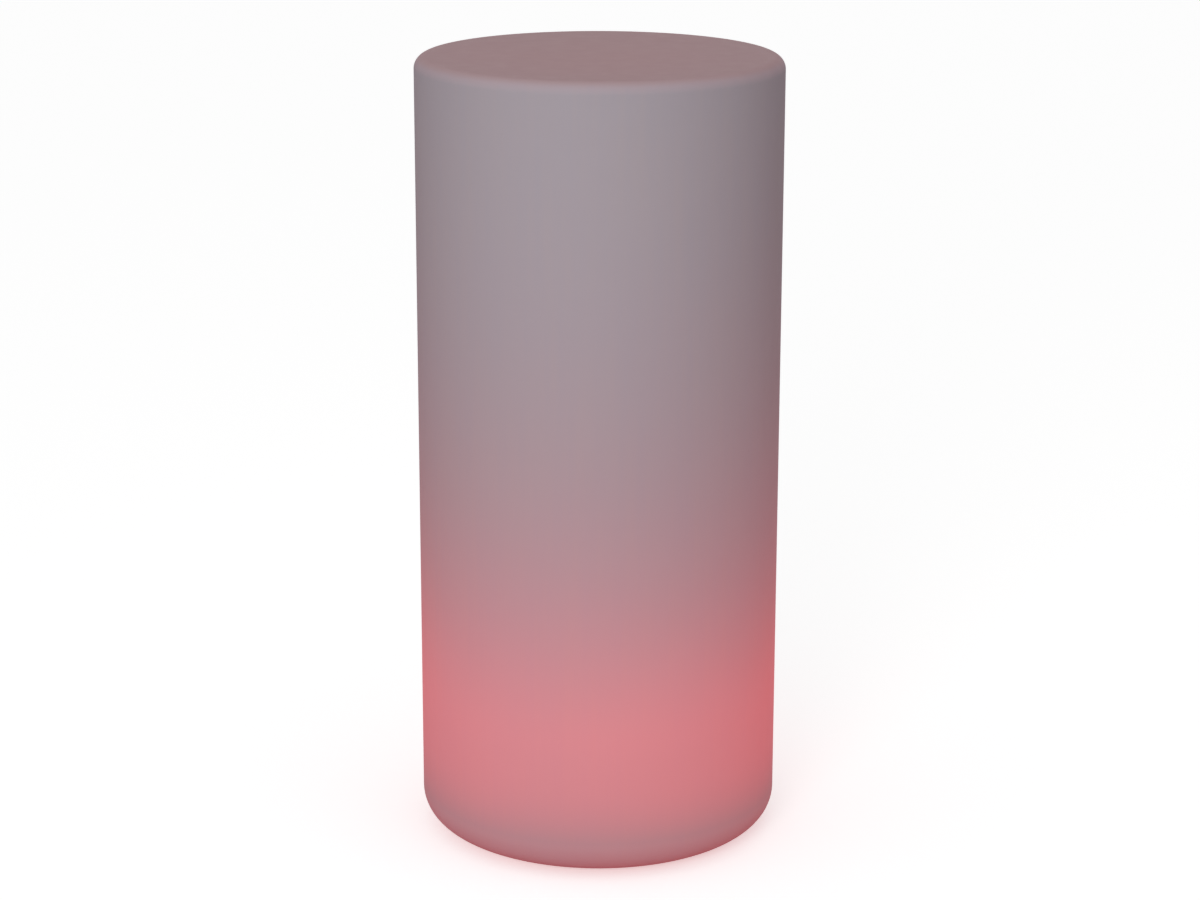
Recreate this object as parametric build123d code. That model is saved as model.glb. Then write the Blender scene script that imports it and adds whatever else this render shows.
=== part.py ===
"""An outdoor floor lamp: a tall translucent column that stands on the ground and glows from inside.

The column is one hollow moulding, closed at the top. Its base is turned in to a round recess, and a sealed,
rechargeable light unit is screwed up into that recess from below. The light unit holds the battery, the
control board and a ring of coloured LEDs that shine up into the column through a clear dome. Its bottom cover
carries the two push buttons and the charging socket with its hinged flap.

Millimetres. The origin is on the ground, on the column's axis. +Z is up and the front is towards -Y.
"""

from build123d import *
import math
import os

# The moulded column
body_diameter = 350.0
body_height = 762.0
body_wall = 4.0
top_edge_radius = 12.0
bottom_edge_radius = 32.0
recess_ceiling_radius = 3.0
standing_edge_radius = 5.0
least_radius = 0.5

# Feet
foot_lift = 3.0
foot_diameter = 24.0
foot_bevel = 2.0
foot_pocket_depth = 2.0
foot_pad_edge_radius = 1.8
foot_clearance = 0.2
foot_count = 6

# Housing of the light unit
unit_setback = 3.0
pot_diameter = 166.0
pot_wall = 3.0
opening_clearance = 2.0
flange_width = 20.0
flange_thickness = 6.0
flange_edge_radius = 1.0
recess_clearance = 2.0
gasket_thickness = 2.0
gasket_margin = 2.0
deck_thickness = 3.0
deck_edge_radius = 1.5
flange_rib = 2.5
flange_skin = 2.0
bays_between_screws = 3
bay_share = 0.7

# Fasteners
fastener_count = 6
unit_screw_thread = 4.0
unit_screw_length = 14.0
unit_screw_head = 8.0
unit_screw_head_height = 3.0
small_screw_thread = 3.0
small_screw_length = 8.0
short_screw_length = 5.0
small_screw_head = 5.6
small_screw_head_height = 1.7
thread_clearance = 0.05
head_clearance = 0.4
hole_run_out = 0.5
socket_share = 0.5
socket_depth_share = 0.6
head_bevel_share = 0.25
washer_thickness = 0.8
insert_diameter = 7.2
insert_length = 11.0
insert_groove = 0.5
insert_waist_share = 0.2
insert_end = 1.0
cover_boss_wall = 3.0
short_boss_wall = 2.0
strap_boss_wall = 2.5

# Bottom cover
cover_thickness = 3.0
cover_clearance = 0.4
spigot_wall = 4.0
spigot_height = 5.5
cover_ring_section = 2.4
ring_clearance = 0.04
ring_side_play = 0.2
cover_boss_gap = 0.6

# Battery: round cells side by side
cell_diameter = 18.5
cell_length = 65.0
cell_count = 3
cell_spacing = 0.3
cell_lift = 1.0
cell_centre_y = 22.0
cell_clearance = 0.1
cradle_rib = 2.0
cradle_height = 6.0
cradle_spread = 36.0
stop_gap = 0.3
terminal_diameter = 7.0
terminal_height = 1.0
tab_width = 6.0
tab_thickness = 0.3
battery_board_thickness = 1.0
battery_board_height = 14.0
battery_board_lift = 2.0
pad_thickness = 0.8
strap_width = 12.0
strap_thickness = 1.2
strap_bend = 0.8
strap_side_gap = 3.0
strap_boss_height = 5.0
strap_foot = 12.0
deck_headroom = 0.5

# Control board and what stands on it
board_lift = 10.0
board_thickness = 1.6
board_gap = 2.0
board_edge_gap = 3.5
standoff_diameter = 7.0
standoff_places = [(-48.0, -20.0), (48.0, -20.0), (-22.0, -47.0), (10.0, -51.0)]
chip_width = 10.0
chip_depth = 8.0
chip_height = 1.7
chip_places = [(-8.0, -21.0), (-26.0, -37.0)]
transistor_width = 6.5
transistor_depth = 6.0
transistor_height = 2.3
transistor_y = -46.0
transistor_xs = [-14.0, -5.0, 4.0]
capacitor_diameter = 8.0
capacitor_height = 8.5
capacitor_places = [(14.0, -24.0), (14.0, -34.0)]
inductor_width = 12.0
inductor_height = 6.0
inductor_corner = 2.0
inductor_x = -36.0
inductor_y = -27.0
plug_width = 8.0
plug_depth = 10.0
plug_height = 7.0
battery_plug_x = -20.0
socket_plug_x = 40.0
side_plug_y = -22.0
led_plug_width = 10.0
led_plug_depth = 6.0
led_plug_height = 6.0

# Push buttons
button_diameter = 13.0
button_proud = 0.6
button_travel = 1.0
button_gap = 0.1
button_flange = 1.5
button_flange_thickness = 1.0
button_clearance = 0.2
button_post = 4.0
button_ring_section = 1.8
button_ring_lift = 2.0
button_edge_radius = 0.8
button_dish = 0.4
button_dish_margin = 1.2
collar_wall = 2.5
collar_height = 2.0
tact_size = 6.0
tact_height = 3.4
tact_plunger = 3.4
tact_plunger_height = 0.9
button_y = -34.0
power_button_x = -26.0
colour_button_x = -4.0

# Charging socket and its flap
socket_x = 27.0
socket_y = -36.0
pocket_width = 20.0
pocket_length = 30.0
pocket_depth = 6.0
pocket_wall = 2.5
pocket_corner = 2.0
flap_thickness = 2.2
flap_clearance = 0.3
hinge_pin_diameter = 2.0
hinge_pin_seat = 1.5
hinge_pin_fit = 0.02
knuckle_bore_play = 0.05
knuckle_diameter = 3.6
knuckle_end_gap = 0.5
scoop_radius = 6.0
scoop_depth = 2.0
jack_flange_diameter = 14.0
jack_flange_thickness = 2.0
jack_thread_diameter = 11.0
jack_length = 10.0
jack_bore_diameter = 5.8
jack_bore_depth = 10.0
jack_pin_diameter = 2.1
jack_pin_setback = 1.5
jack_tag_offset = 3.0
jack_tag_pitch = 2.6
jack_tag_width = 2.2
jack_tag_thickness = 0.5
jack_tag_height = 3.4
jack_board_gap = 1.0
jack_nut_size = 14.0
jack_nut_thickness = 2.5
jack_seal_thickness = 1.0
flap_plug_clearance = 0.35
flap_plug_depth = 1.4
flap_pad_diameter = 11.0
flap_pad_thickness = 0.6

# Light pipe of the charging indicator
pipe_diameter = 3.0
pipe_fit = 0.02
pipe_flange = 1.0
pipe_x = -15.0
pipe_y = -50.0
indicator_width = 3.0
indicator_depth = 1.5
indicator_height = 0.8
indicator_gap = 0.2

# LED board and its dome
spreader_thickness = 1.5
spreader_overhang = 2.0
spreader_gap = 8.5
led_board_thickness = 1.6
led_size = 5.0
led_height = 1.4
led_lens_diameter = 3.8
led_lens_height = 0.2
outer_led_inset = 10.0
outer_led_count = 16
inner_led_circle = 60.0
inner_led_count = 8
led_screw_count = 4
led_screw_inset = 5.6
led_socket_y = -18.0
led_socket_height = 5.0
lead_hole_y = -30.0
lead_hole_diameter = 10.4
grommet_wall = 1.2
grommet_lip = 1.2
grommet_lip_thickness = 0.8
grommet_play = 0.02
dome_wall = 2.0
dome_rise = 22.0
dome_flange_thickness = 2.5
dome_gasket_thickness = 1.2
dome_screw_inset = 5.0
dome_head_gap = 0.8

# Wires
wire_diameter = 1.3
wire_pitch = 1.8
wire_gap = 0.05
wire_bend = 5.0
led_wire_count = 4
side_wire_count = 2
led_wire_arch = 6.0

# Heights, from the ground up
body_base = foot_lift
body_top = body_base + body_height
unit_base = body_base + unit_setback
flange_top = unit_base + flange_thickness
seat = flange_top + gasket_thickness
cover_top = unit_base + cover_thickness
spigot_top = cover_top + spigot_height
washer_low = unit_base + unit_screw_head_height
washer_top = washer_low + washer_thickness
cell_axis = cover_top + cell_lift + cell_diameter / 2
cell_top = cell_axis + cell_diameter / 2
strap_under = cell_top + pad_thickness
strap_top = strap_under + strap_thickness
strap_boss_top = cover_top + strap_boss_height
deck_under = strap_top + deck_headroom
deck_top = deck_under + deck_thickness
board_under = cover_top + board_lift
board_top = board_under + board_thickness
spreader_top = deck_top + spreader_thickness
led_board_top = spreader_top + led_board_thickness
dome_seat = deck_top + dome_gasket_thickness
dome_flange_top = dome_seat + dome_flange_thickness
collar_top = cover_top + collar_height
tact_tip = board_under - tact_height - tact_plunger_height
pocket_floor = unit_base + pocket_depth
pocket_top = pocket_floor + pocket_wall
jack_flange_top = pocket_floor - jack_seal_thickness
jack_mouth = jack_flange_top - jack_flange_thickness
jack_top = jack_flange_top + jack_length
hinge_z = unit_base + knuckle_diameter / 2
side_wire_z = jack_top + jack_tag_height / 2

# Radii, from the light unit outwards
body_radius = body_diameter / 2
pot_radius = pot_diameter / 2
pot_bore = pot_radius - pot_wall
opening_radius = pot_radius + opening_clearance
flange_radius = pot_radius + flange_width
recess_radius = flange_radius + recess_clearance
unit_screw_circle = (opening_radius + flange_radius) / 2
foot_circle = (recess_radius + body_radius - bottom_edge_radius) / 2
cover_radius = pot_bore - cover_clearance
spigot_bore = cover_radius - spigot_wall
cover_boss_radius = small_screw_thread / 2 + cover_boss_wall
cover_screw_circle = spigot_bore - cover_boss_radius - cover_boss_gap
dome_screw_circle = pot_radius - dome_screw_inset
dome_cap_radius = dome_screw_circle - small_screw_head / 2 - dome_head_gap
dome_sphere = (dome_cap_radius**2 + dome_rise**2) / (2 * dome_rise)
dome_centre_z = dome_flange_top + dome_rise - dome_sphere
dome_mouth = math.sqrt((dome_sphere - dome_wall) ** 2 - (dome_seat - dome_centre_z) ** 2)
dome_flange_radius = pot_radius - deck_edge_radius
led_board_radius = dome_mouth - spreader_gap - spreader_overhang
outer_led_circle = 2 * (led_board_radius - outer_led_inset)
board_radius = cover_screw_circle - cover_boss_radius - board_gap
grommet_lip_radius = lead_hole_diameter / 2 + grommet_lip
board_lead_hole = 2 * (grommet_lip_radius + foot_clearance)

# Places along the light unit, across and from front to back
cell_pitch = cell_diameter + cell_spacing
cell_xs = [cell_pitch * (i - (cell_count - 1) / 2) for i in range(cell_count)]
pack_half_width = cell_pitch * (cell_count - 1) / 2 + cell_diameter / 2
cell_front = cell_centre_y - cell_length / 2
cell_back = cell_centre_y + cell_length / 2
front_tab_y = cell_front - terminal_height
pack_front = front_tab_y - tab_thickness - battery_board_thickness
pack_back = cell_back + tab_thickness
board_back_edge = pack_front - board_edge_gap
strap_side = pack_half_width + strap_side_gap
strap_screw_x = strap_side + strap_thickness + (strap_foot - strap_thickness) / 2
pocket_front = socket_y - pocket_length / 2
pocket_back = socket_y + pocket_length / 2
hinge_y = pocket_front + knuckle_diameter / 2 + knuckle_end_gap
flap_width = pocket_width - 2 * flap_clearance


def turned(points, radii=None, arc=360.0):
    """A solid of revolution about Z from the corners (radius, height) of its half section."""
    corners = [(r, 0, z) for r, z in points]
    if radii:
        outline = FilletPolyline(*corners, radius=radii, close=True)
    else:
        outline = Polyline(*corners, close=True)
    return revolve(make_face(outline), Axis.Z, arc)


def rod(diameter, low, high, x=0.0, y=0.0):
    """An upright round bar between two heights."""
    return Pos(x, y, low) * Cylinder(diameter / 2, high - low, align=(Align.CENTER, Align.CENTER, Align.MIN))


def tube(outer, inner, low, high, x=0.0, y=0.0):
    """An upright round tube between two heights."""
    return rod(outer, low, high, x, y) - rod(inner, low, high, x, y)


def block(width, depth, low, high, x=0.0, y=0.0):
    """A rectangular bar, centred on x and y, between two heights."""
    return Pos(x, y, low) * Box(width, depth, high - low, align=(Align.CENTER, Align.CENTER, Align.MIN))


def rounded_block(width, depth, corner, low, high, x=0.0, y=0.0):
    """A block whose upright edges are rounded."""
    return Pos(x, y, low) * extrude(RectangleRounded(width, depth, corner), high - low)


def on_circle(radius, count, first=0.0):
    """Places spaced evenly on a circle about the column's axis, as (x, y)."""
    angles = [math.radians(first + 360.0 * i / count) for i in range(count)]
    return [(radius * math.cos(a), radius * math.sin(a)) for a in angles]


def ring(radius, section, height, x=0.0, y=0.0):
    """A round-section sealing ring lying flat."""
    return Pos(x, y, height) * Torus(radius, section / 2)


def wire(points):
    """One insulated wire along a bent route."""
    if len(points) > 2:
        path = FilletPolyline(*points, radius=wire_bend)
    else:
        path = Line(*points)
    start = Plane(origin=path @ 0, z_dir=path % 0)
    return sweep(start * Circle(wire_diameter / 2), path=path)


def in_a_row(count, pitch):
    """Offsets of things set side by side about a centre line."""
    return [pitch * (i - (count - 1) / 2) for i in range(count)]


def socket_screw(thread, length, head, head_height, x, y, bearing, upward):
    """A socket screw whose head bears at a height, with its thread up or down from there."""
    way = 1 if upward else -1
    head_end = bearing - way * head_height
    tip = bearing + way * length
    cap = rod(head, min(head_end, bearing), max(head_end, bearing), x, y)
    face_edge = cap.edges().filter_by(GeomType.CIRCLE).sort_by(Axis.Z)[0 if upward else -1]
    cap = chamfer(face_edge, head_height * head_bevel_share)
    shank = rod(thread, min(bearing, tip), max(bearing, tip), x, y)
    depth = head_height * socket_depth_share
    key = extrude(RegularPolygon(head * socket_share / 2, 6, major_radius=False), depth)
    key = Pos(x, y, head_end if upward else head_end - depth) * key
    return cap + shank - key


def small_screw(length, x, y, bearing, upward):
    return socket_screw(
        small_screw_thread, length, small_screw_head, small_screw_head_height, x, y, bearing, upward
    )


unit_screw_places = on_circle(unit_screw_circle, fastener_count)
cover_screw_places = on_circle(cover_screw_circle, fastener_count, 180.0 / fastener_count)
dome_screw_places = on_circle(dome_screw_circle, fastener_count)
foot_places = on_circle(foot_circle, foot_count, 180.0 / foot_count)
led_screw_places = on_circle(led_board_radius - led_screw_inset, led_screw_count)
small_hole = small_screw_thread + 2 * thread_clearance
small_clear_hole = small_screw_thread + head_clearance
small_counterbore = small_screw_head + 2 * head_clearance


# The column: one hollow moulding, closed at the top and turned in at the base

def column_shell():
    skin = [
        (opening_radius, seat),
        (recess_radius, seat),
        (recess_radius, body_base),
        (body_radius, body_base),
        (body_radius, body_top),
        (0.0, body_top),
    ]
    lining = [
        (0.0, body_top - body_wall),
        (body_radius - body_wall, body_top - body_wall),
        (body_radius - body_wall, body_base + body_wall),
        (recess_radius + body_wall, body_base + body_wall),
        (recess_radius + body_wall, seat + body_wall),
        (opening_radius, seat + body_wall),
    ]
    skin_radii = [0.0, recess_ceiling_radius, standing_edge_radius, bottom_edge_radius, top_edge_radius, 0.0]
    lining_radii = [
        0.0,
        max(top_edge_radius - body_wall, least_radius),
        max(bottom_edge_radius - body_wall, least_radius),
        max(standing_edge_radius - body_wall, least_radius),
        recess_ceiling_radius + body_wall,
        0.0,
    ]
    shell = turned(skin + lining, skin_radii + lining_radii)

    # The plastic stands one wall thick round each insert and over each foot pocket.
    mid_wall = body_wall / 2
    boss_radius = insert_diameter / 2 + body_wall
    boss_top = seat + insert_length + body_wall
    boss = turned([(0, seat + mid_wall), (boss_radius, seat + mid_wall), (boss_radius, boss_top), (0, boss_top)],
                  [0, 0, body_wall, 0])
    pad_radius = foot_diameter / 2 + foot_clearance + body_wall
    pad_low = body_base + mid_wall
    pad_top = body_base + foot_pocket_depth + body_wall
    pad = turned([(0, pad_low), (pad_radius, pad_low), (pad_radius, pad_top), (0, pad_top)],
                 [0, 0, foot_pad_edge_radius, 0])
    shell += [Pos(x, y, 0) * boss for x, y in unit_screw_places]
    shell += [Pos(x, y, 0) * pad for x, y in foot_places]

    pocket = foot_diameter + 2 * foot_clearance
    shell -= [rod(pocket, body_base, body_base + foot_pocket_depth, x, y) for x, y in foot_places]
    shell -= [Pos(x, y, 0) * insert_blank(thread_clearance) for x, y in unit_screw_places]
    return shell


def insert_blank(growth=0.0):
    """The outside of one threaded insert, standing on the seat, with the waist that the plastic grips."""
    r = insert_diameter / 2 + growth
    top = seat + insert_length + growth
    waist_low = seat + insert_length * (1 - insert_waist_share) / 2
    waist_high = waist_low + insert_length * insert_waist_share
    waist = r - insert_groove
    return turned([(0, seat), (r, seat), (r, waist_low), (waist, waist_low), (waist, waist_high),
                   (r, waist_high), (r, top), (0, top)])


def thread_inserts():
    """Closed-ended brass inserts moulded into the seat, one for each screw of the light unit."""
    bore = unit_screw_thread + 2 * thread_clearance
    insert = insert_blank() - rod(bore, seat, seat + insert_length - insert_end)
    return [Pos(x, y, 0) * insert for x, y in unit_screw_places]


def rubber_feet():
    """Round rubber pads bonded into the pockets of the standing ring."""
    r = foot_diameter / 2
    top = body_base + foot_pocket_depth
    foot = turned([(0, 0), (r - foot_bevel, 0), (r, foot_lift), (r, top), (0, top)])
    return [Pos(x, y, 0) * foot for x, y in foot_places]


# The light unit's housing: an upturned pot with a screw flange that is ribbed below

def unit_housing():
    pot = turned(
        [(pot_bore, unit_base), (flange_radius, unit_base), (flange_radius, flange_top), (pot_radius, flange_top),
         (pot_radius, deck_top), (0, deck_top), (0, deck_under), (pot_bore, deck_under)],
        [0, flange_edge_radius, flange_edge_radius, flange_edge_radius, deck_edge_radius, 0, 0, 0],
    )
    dome_tip = dome_flange_top - small_screw_length
    dome_boss_low = dome_tip - hole_run_out - short_boss_wall
    dome_boss = small_screw_thread + 2 * cover_boss_wall
    led_boss = small_screw_thread + 2 * short_boss_wall
    led_boss_low = deck_under - deck_headroom
    into_deck = deck_under + deck_thickness / 2
    dome_posts = Sketch() + [Pos(x, y) * Circle(dome_boss / 2) for x, y in dome_screw_places]
    inside_pot = rod(2 * pot_bore + pot_wall, dome_boss_low, into_deck)
    pot += (Pos(0, 0, dome_boss_low) * extrude(dome_posts, into_deck - dome_boss_low)) & inside_pot
    pot += [rod(2 * cover_boss_radius, cover_top, into_deck, x, y) for x, y in cover_screw_places]
    pot += [rod(led_boss, led_boss_low, into_deck, x, y) for x, y in led_screw_places]

    pot -= [rod(small_hole, cover_top, cover_top + small_screw_length, x, y) for x, y in cover_screw_places]
    pot -= [rod(small_hole, dome_tip - hole_run_out, deck_top, x, y) for x, y in dome_screw_places]
    pot -= [rod(small_hole, led_boss_low, deck_top, x, y) for x, y in led_screw_places]
    pot -= rod(lead_hole_diameter, deck_under, deck_top, 0, lead_hole_y)
    pot -= flange_bays()
    clear_hole = unit_screw_thread + 2 * head_clearance
    counterbore = unit_screw_head + 2 * head_clearance
    pot -= [rod(clear_hole, unit_base, flange_top, x, y) for x, y in unit_screw_places]
    pot -= [rod(counterbore, unit_base, washer_top, x, y) for x, y in unit_screw_places]
    return pot


def flange_bays():
    """Cored pockets under the flange, which leave radial ribs and a plain stretch round each screw."""
    low, high = unit_base, flange_top - flange_skin
    inner, outer = pot_radius + flange_rib, flange_radius - flange_rib
    span = 360.0 / fastener_count
    cored = span * bay_share
    rib_angle = math.degrees(flange_rib / unit_screw_circle)
    bay_angle = (cored - rib_angle * (bays_between_screws - 1)) / bays_between_screws
    bay = turned([(inner, low), (outer, low), (outer, high), (inner, high)], arc=bay_angle)
    starts = [
        span * i + (span - cored) / 2 + (bay_angle + rib_angle) * j
        for i in range(fastener_count)
        for j in range(bays_between_screws)
    ]
    return [Rot(0, 0, start) * bay for start in starts]


def unit_gasket():
    """The flat rubber ring between the flange and the seat, with a hole for each screw."""
    gasket = tube(2 * (flange_radius - gasket_margin), 2 * (opening_radius + gasket_margin), flange_top, seat)
    hole = unit_screw_thread + 2 * head_clearance
    return gasket - [rod(hole, flange_top, seat, x, y) for x, y in unit_screw_places]


def unit_screws():
    return [
        socket_screw(unit_screw_thread, unit_screw_length, unit_screw_head, unit_screw_head_height,
                     x, y, washer_low, True)
        for x, y in unit_screw_places
    ]


def unit_washers():
    """Sealing washers under the heads of the flange screws."""
    bore = unit_screw_thread + 2 * thread_clearance
    return [tube(unit_screw_head, bore, washer_low, washer_top, x, y) for x, y in unit_screw_places]


# The bottom cover, which plugs the pot and carries the battery, the board, the buttons and the socket

cover_ring_radius = pot_bore - ring_clearance - cover_ring_section / 2
cover_ring_z = cover_top + spigot_height / 2
button_bore = button_diameter + 2 * button_clearance


def bottom_cover():
    cover = turned(
        [(0, unit_base), (cover_radius, unit_base), (cover_radius, spigot_top), (spigot_bore, spigot_top),
         (spigot_bore, cover_top), (0, cover_top)],
        [0, flange_edge_radius, least_radius, least_radius, least_radius, 0],
    )
    into_cover = cover_top - cover_thickness / 2
    collar = button_bore + 2 * collar_wall
    cover += [rod(collar, into_cover, collar_top, x, button_y) for x in (power_button_x, colour_button_x)]
    cover += rounded_block(pocket_width + 2 * pocket_wall, pocket_length + 2 * pocket_wall,
                           pocket_corner + pocket_wall, into_cover, pocket_top, socket_x, socket_y)
    cover += [rod(standoff_diameter, into_cover, board_under, x, y) for x, y in standoff_places]
    strap_boss = small_screw_thread + 2 * strap_boss_wall
    cover += [rod(strap_boss, into_cover, strap_boss_top, x, cell_centre_y) for x in (-strap_screw_x, strap_screw_x)]
    cover += battery_cradle(into_cover)

    pocket = rounded_block(pocket_width, pocket_length, pocket_corner, unit_base, pocket_floor, socket_x, socket_y)
    scoop_z = unit_base + scoop_depth - scoop_radius
    groove_radius = cover_ring_radius - cover_ring_section / 2 - ring_clearance
    groove_half = cover_ring_section / 2 + ring_side_play
    cover -= tube(2 * pot_radius, 2 * groove_radius, cover_ring_z - groove_half, cover_ring_z + groove_half)
    cover -= [rod(button_bore, unit_base, collar_top, x, button_y) for x in (power_button_x, colour_button_x)]
    cover -= pocket
    cover -= Pos(socket_x, pocket_back, scoop_z) * Sphere(scoop_radius)
    cover -= rod(jack_thread_diameter + 2 * thread_clearance, pocket_floor, pocket_top, socket_x, socket_y)
    cover -= hinge_bar(hinge_pin_diameter + 2 * hinge_pin_fit, pocket_width + 2 * hinge_pin_seat)
    cover -= rod(pipe_diameter + 2 * pipe_fit, unit_base, cover_top, pipe_x, pipe_y)
    head_seat = unit_base + small_screw_head_height
    cover -= [rod(small_clear_hole, unit_base, cover_top, x, y) for x, y in cover_screw_places]
    cover -= [rod(small_counterbore, unit_base, head_seat, x, y) for x, y in cover_screw_places]
    board_pilot = board_top - short_screw_length - hole_run_out
    strap_pilot = strap_boss_top + strap_thickness - short_screw_length - hole_run_out
    cover -= [rod(small_hole, board_pilot, board_under, x, y) for x, y in standoff_places]
    cover -= [rod(small_hole, strap_pilot, strap_boss_top, x, cell_centre_y) for x in (-strap_screw_x, strap_screw_x)]
    return cover


def battery_cradle(low):
    """Scalloped ribs under the cells and a stop at each end of the pack."""
    high = cover_top + cradle_height
    width = 2 * (pack_half_width + cradle_rib / 2)
    ribs = [block(width, cradle_rib, low, high, 0, cell_centre_y + side * cradle_spread / 2) for side in (-1, 1)]
    beds = [cell_bar(cell_diameter + 2 * cell_clearance, cell_length, x) for x in cell_xs]
    stops = [
        block(pack_half_width, cradle_rib, low, high, 0, pack_front - stop_gap - cradle_rib / 2),
        block(pack_half_width, cradle_rib, low, high, 0, pack_back + stop_gap + cradle_rib / 2),
    ]
    return [rib - beds for rib in ribs] + stops


def hinge_bar(diameter, length):
    """A round bar along the axis of the flap's hinge."""
    return Pos(socket_x, hinge_y, hinge_z) * Rot(0, 90, 0) * Cylinder(diameter / 2, length)


def cover_ring():
    return ring(cover_ring_radius, cover_ring_section, cover_ring_z)


def cover_screws():
    bearing = unit_base + small_screw_head_height
    return [small_screw(small_screw_length, x, y, bearing, True) for x, y in cover_screw_places]


# The battery pack

def cell_bar(diameter, length, x):
    """A round bar lying along Y at one cell's place."""
    return Pos(x, cell_centre_y, cell_axis) * Rot(90, 0, 0) * Cylinder(diameter / 2, length)


def battery_cells():
    """Round cells with their raised terminals at the front."""
    cells = []
    for x in cell_xs:
        terminal = Pos(x, cell_front - terminal_height / 2, cell_axis) * Rot(90, 0, 0)
        cells.append(cell_bar(cell_diameter, cell_length, x)
                     + terminal * Cylinder(terminal_diameter / 2, terminal_height))
    return cells


def battery_tabs():
    """Welded strips that join the cells at both ends."""
    width = 2 * (pack_half_width - cell_diameter / 2) + terminal_diameter
    low, high = cell_axis - tab_width / 2, cell_axis + tab_width / 2
    return [
        block(width, tab_thickness, low, high, 0, front_tab_y - tab_thickness / 2),
        block(width, tab_thickness, low, high, 0, cell_back + tab_thickness / 2),
    ]


def battery_board():
    """The pack's protection board, standing against the front strip."""
    low = cover_top + battery_board_lift
    return block(2 * pack_half_width - terminal_diameter, battery_board_thickness, low,
                 low + battery_board_height, 0, pack_front + battery_board_thickness / 2)


def battery_return_wire():
    """The wire from the back strip to the board, lying in the valley between two cells."""
    x = cell_pitch / 2
    z = cell_axis + tab_width / 2 + wire_diameter / 2 + wire_gap
    return wire([(x, pack_front + battery_board_thickness, z), (x, pack_back, z)])


def battery_lead():
    start, end = pack_front, side_plug_y + plug_depth / 2
    return [
        wire([(battery_plug_x + dx, start, side_wire_z), (battery_plug_x + dx, end, side_wire_z)])
        for dx in in_a_row(side_wire_count, jack_tag_pitch)
    ]


def battery_pad():
    """The foam strip between the cells and the strap."""
    width = 2 * (pack_half_width - cell_diameter / 2) + terminal_diameter
    return block(width, strap_width, cell_top, strap_under, 0, cell_centre_y)


def battery_strap():
    """A bent steel strip over the pack, screwed down at both feet."""
    inner, outer, end = strap_side, strap_side + strap_thickness, strap_side + strap_foot
    foot_low, foot_top = strap_boss_top, strap_boss_top + strap_thickness
    bend = strap_bend + strap_thickness
    right = [(inner, strap_under), (inner, foot_low), (end, foot_low), (end, foot_top), (outer, foot_top),
             (outer, strap_top)]
    right_radii = [strap_bend, bend, 0, 0, strap_bend, bend]
    left = [(-x, z) for x, z in reversed(right)]
    points = [(x, 0, z) for x, z in right + left]
    outline = FilletPolyline(*points, radius=right_radii + right_radii[::-1], close=True)
    strip = Pos(0, cell_centre_y, 0) * extrude(make_face(outline), strap_width / 2, both=True)
    holes = [rod(small_clear_hole, foot_low, foot_top, x, cell_centre_y) for x in (-strap_screw_x, strap_screw_x)]
    return strip - holes


def strap_screws():
    bearing = strap_boss_top + strap_thickness
    return [
        small_screw(short_screw_length, x, cell_centre_y, bearing, False) for x in (-strap_screw_x, strap_screw_x)
    ]


# The control board

def control_board():
    """A board cut to the front of the housing, with a hole round the charging socket."""
    depth = 2 * board_radius
    front = block(depth, depth, board_under, board_top, 0, board_back_edge - depth / 2)
    board = rod(depth, board_under, board_top) & front
    board -= [rod(small_clear_hole, board_under, board_top, x, y) for x, y in standoff_places]
    return board - rod(jack_thread_diameter + 2 * jack_board_gap, board_under, board_top, socket_x, socket_y)


def board_screws():
    return [small_screw(short_screw_length, x, y, board_top, False) for x, y in standoff_places]


def control_chips():
    return [block(chip_width, chip_depth, board_top, board_top + chip_height, x, y) for x, y in chip_places]


def transistors():
    """One power transistor for each of the three colours."""
    high = board_top + transistor_height
    return [block(transistor_width, transistor_depth, board_top, high, x, transistor_y) for x in transistor_xs]


def capacitors():
    return [rod(capacitor_diameter, board_top, board_top + capacitor_height, x, y) for x, y in capacitor_places]


def inductor():
    return rounded_block(inductor_width, inductor_width, inductor_corner, board_top,
                         board_top + inductor_height, inductor_x, inductor_y)


def board_connectors():
    """The plugs of the battery lead, the socket lead and the LED lead, seated on the board."""
    sides = [
        block(plug_width, plug_depth, board_top, board_top + plug_height, x, side_plug_y)
        for x in (battery_plug_x, socket_plug_x)
    ]
    return sides + [block(led_plug_width, led_plug_depth, board_top, board_top + led_plug_height, 0, lead_hole_y)]


def tact_switches():
    """Small switches under the board, over the push buttons."""
    body_low = board_under - tact_height
    return [
        block(tact_size, tact_size, body_low, board_under, x, button_y)
        + rod(tact_plunger, tact_tip, body_low, x, button_y)
        for x in (power_button_x, colour_button_x)
    ]


def indicator_led():
    return block(indicator_width, indicator_depth, board_under - indicator_height, board_under, pipe_x, pipe_y)


def light_pipe():
    """A clear rod that brings the indicator's light to the outside of the cover."""
    r = pipe_diameter / 2
    top = board_under - indicator_height - indicator_gap
    rim = cover_top + pipe_flange
    return Pos(pipe_x, pipe_y, 0) * turned(
        [(0, unit_base), (r, unit_base), (r, cover_top), (r + pipe_flange, cover_top), (r + pipe_flange, rim),
         (r, rim), (r, top), (0, top)]
    )


# The push buttons

button_ring_radius = button_bore / 2 - ring_clearance - button_ring_section / 2
button_ring_z = unit_base + button_ring_lift


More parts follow.
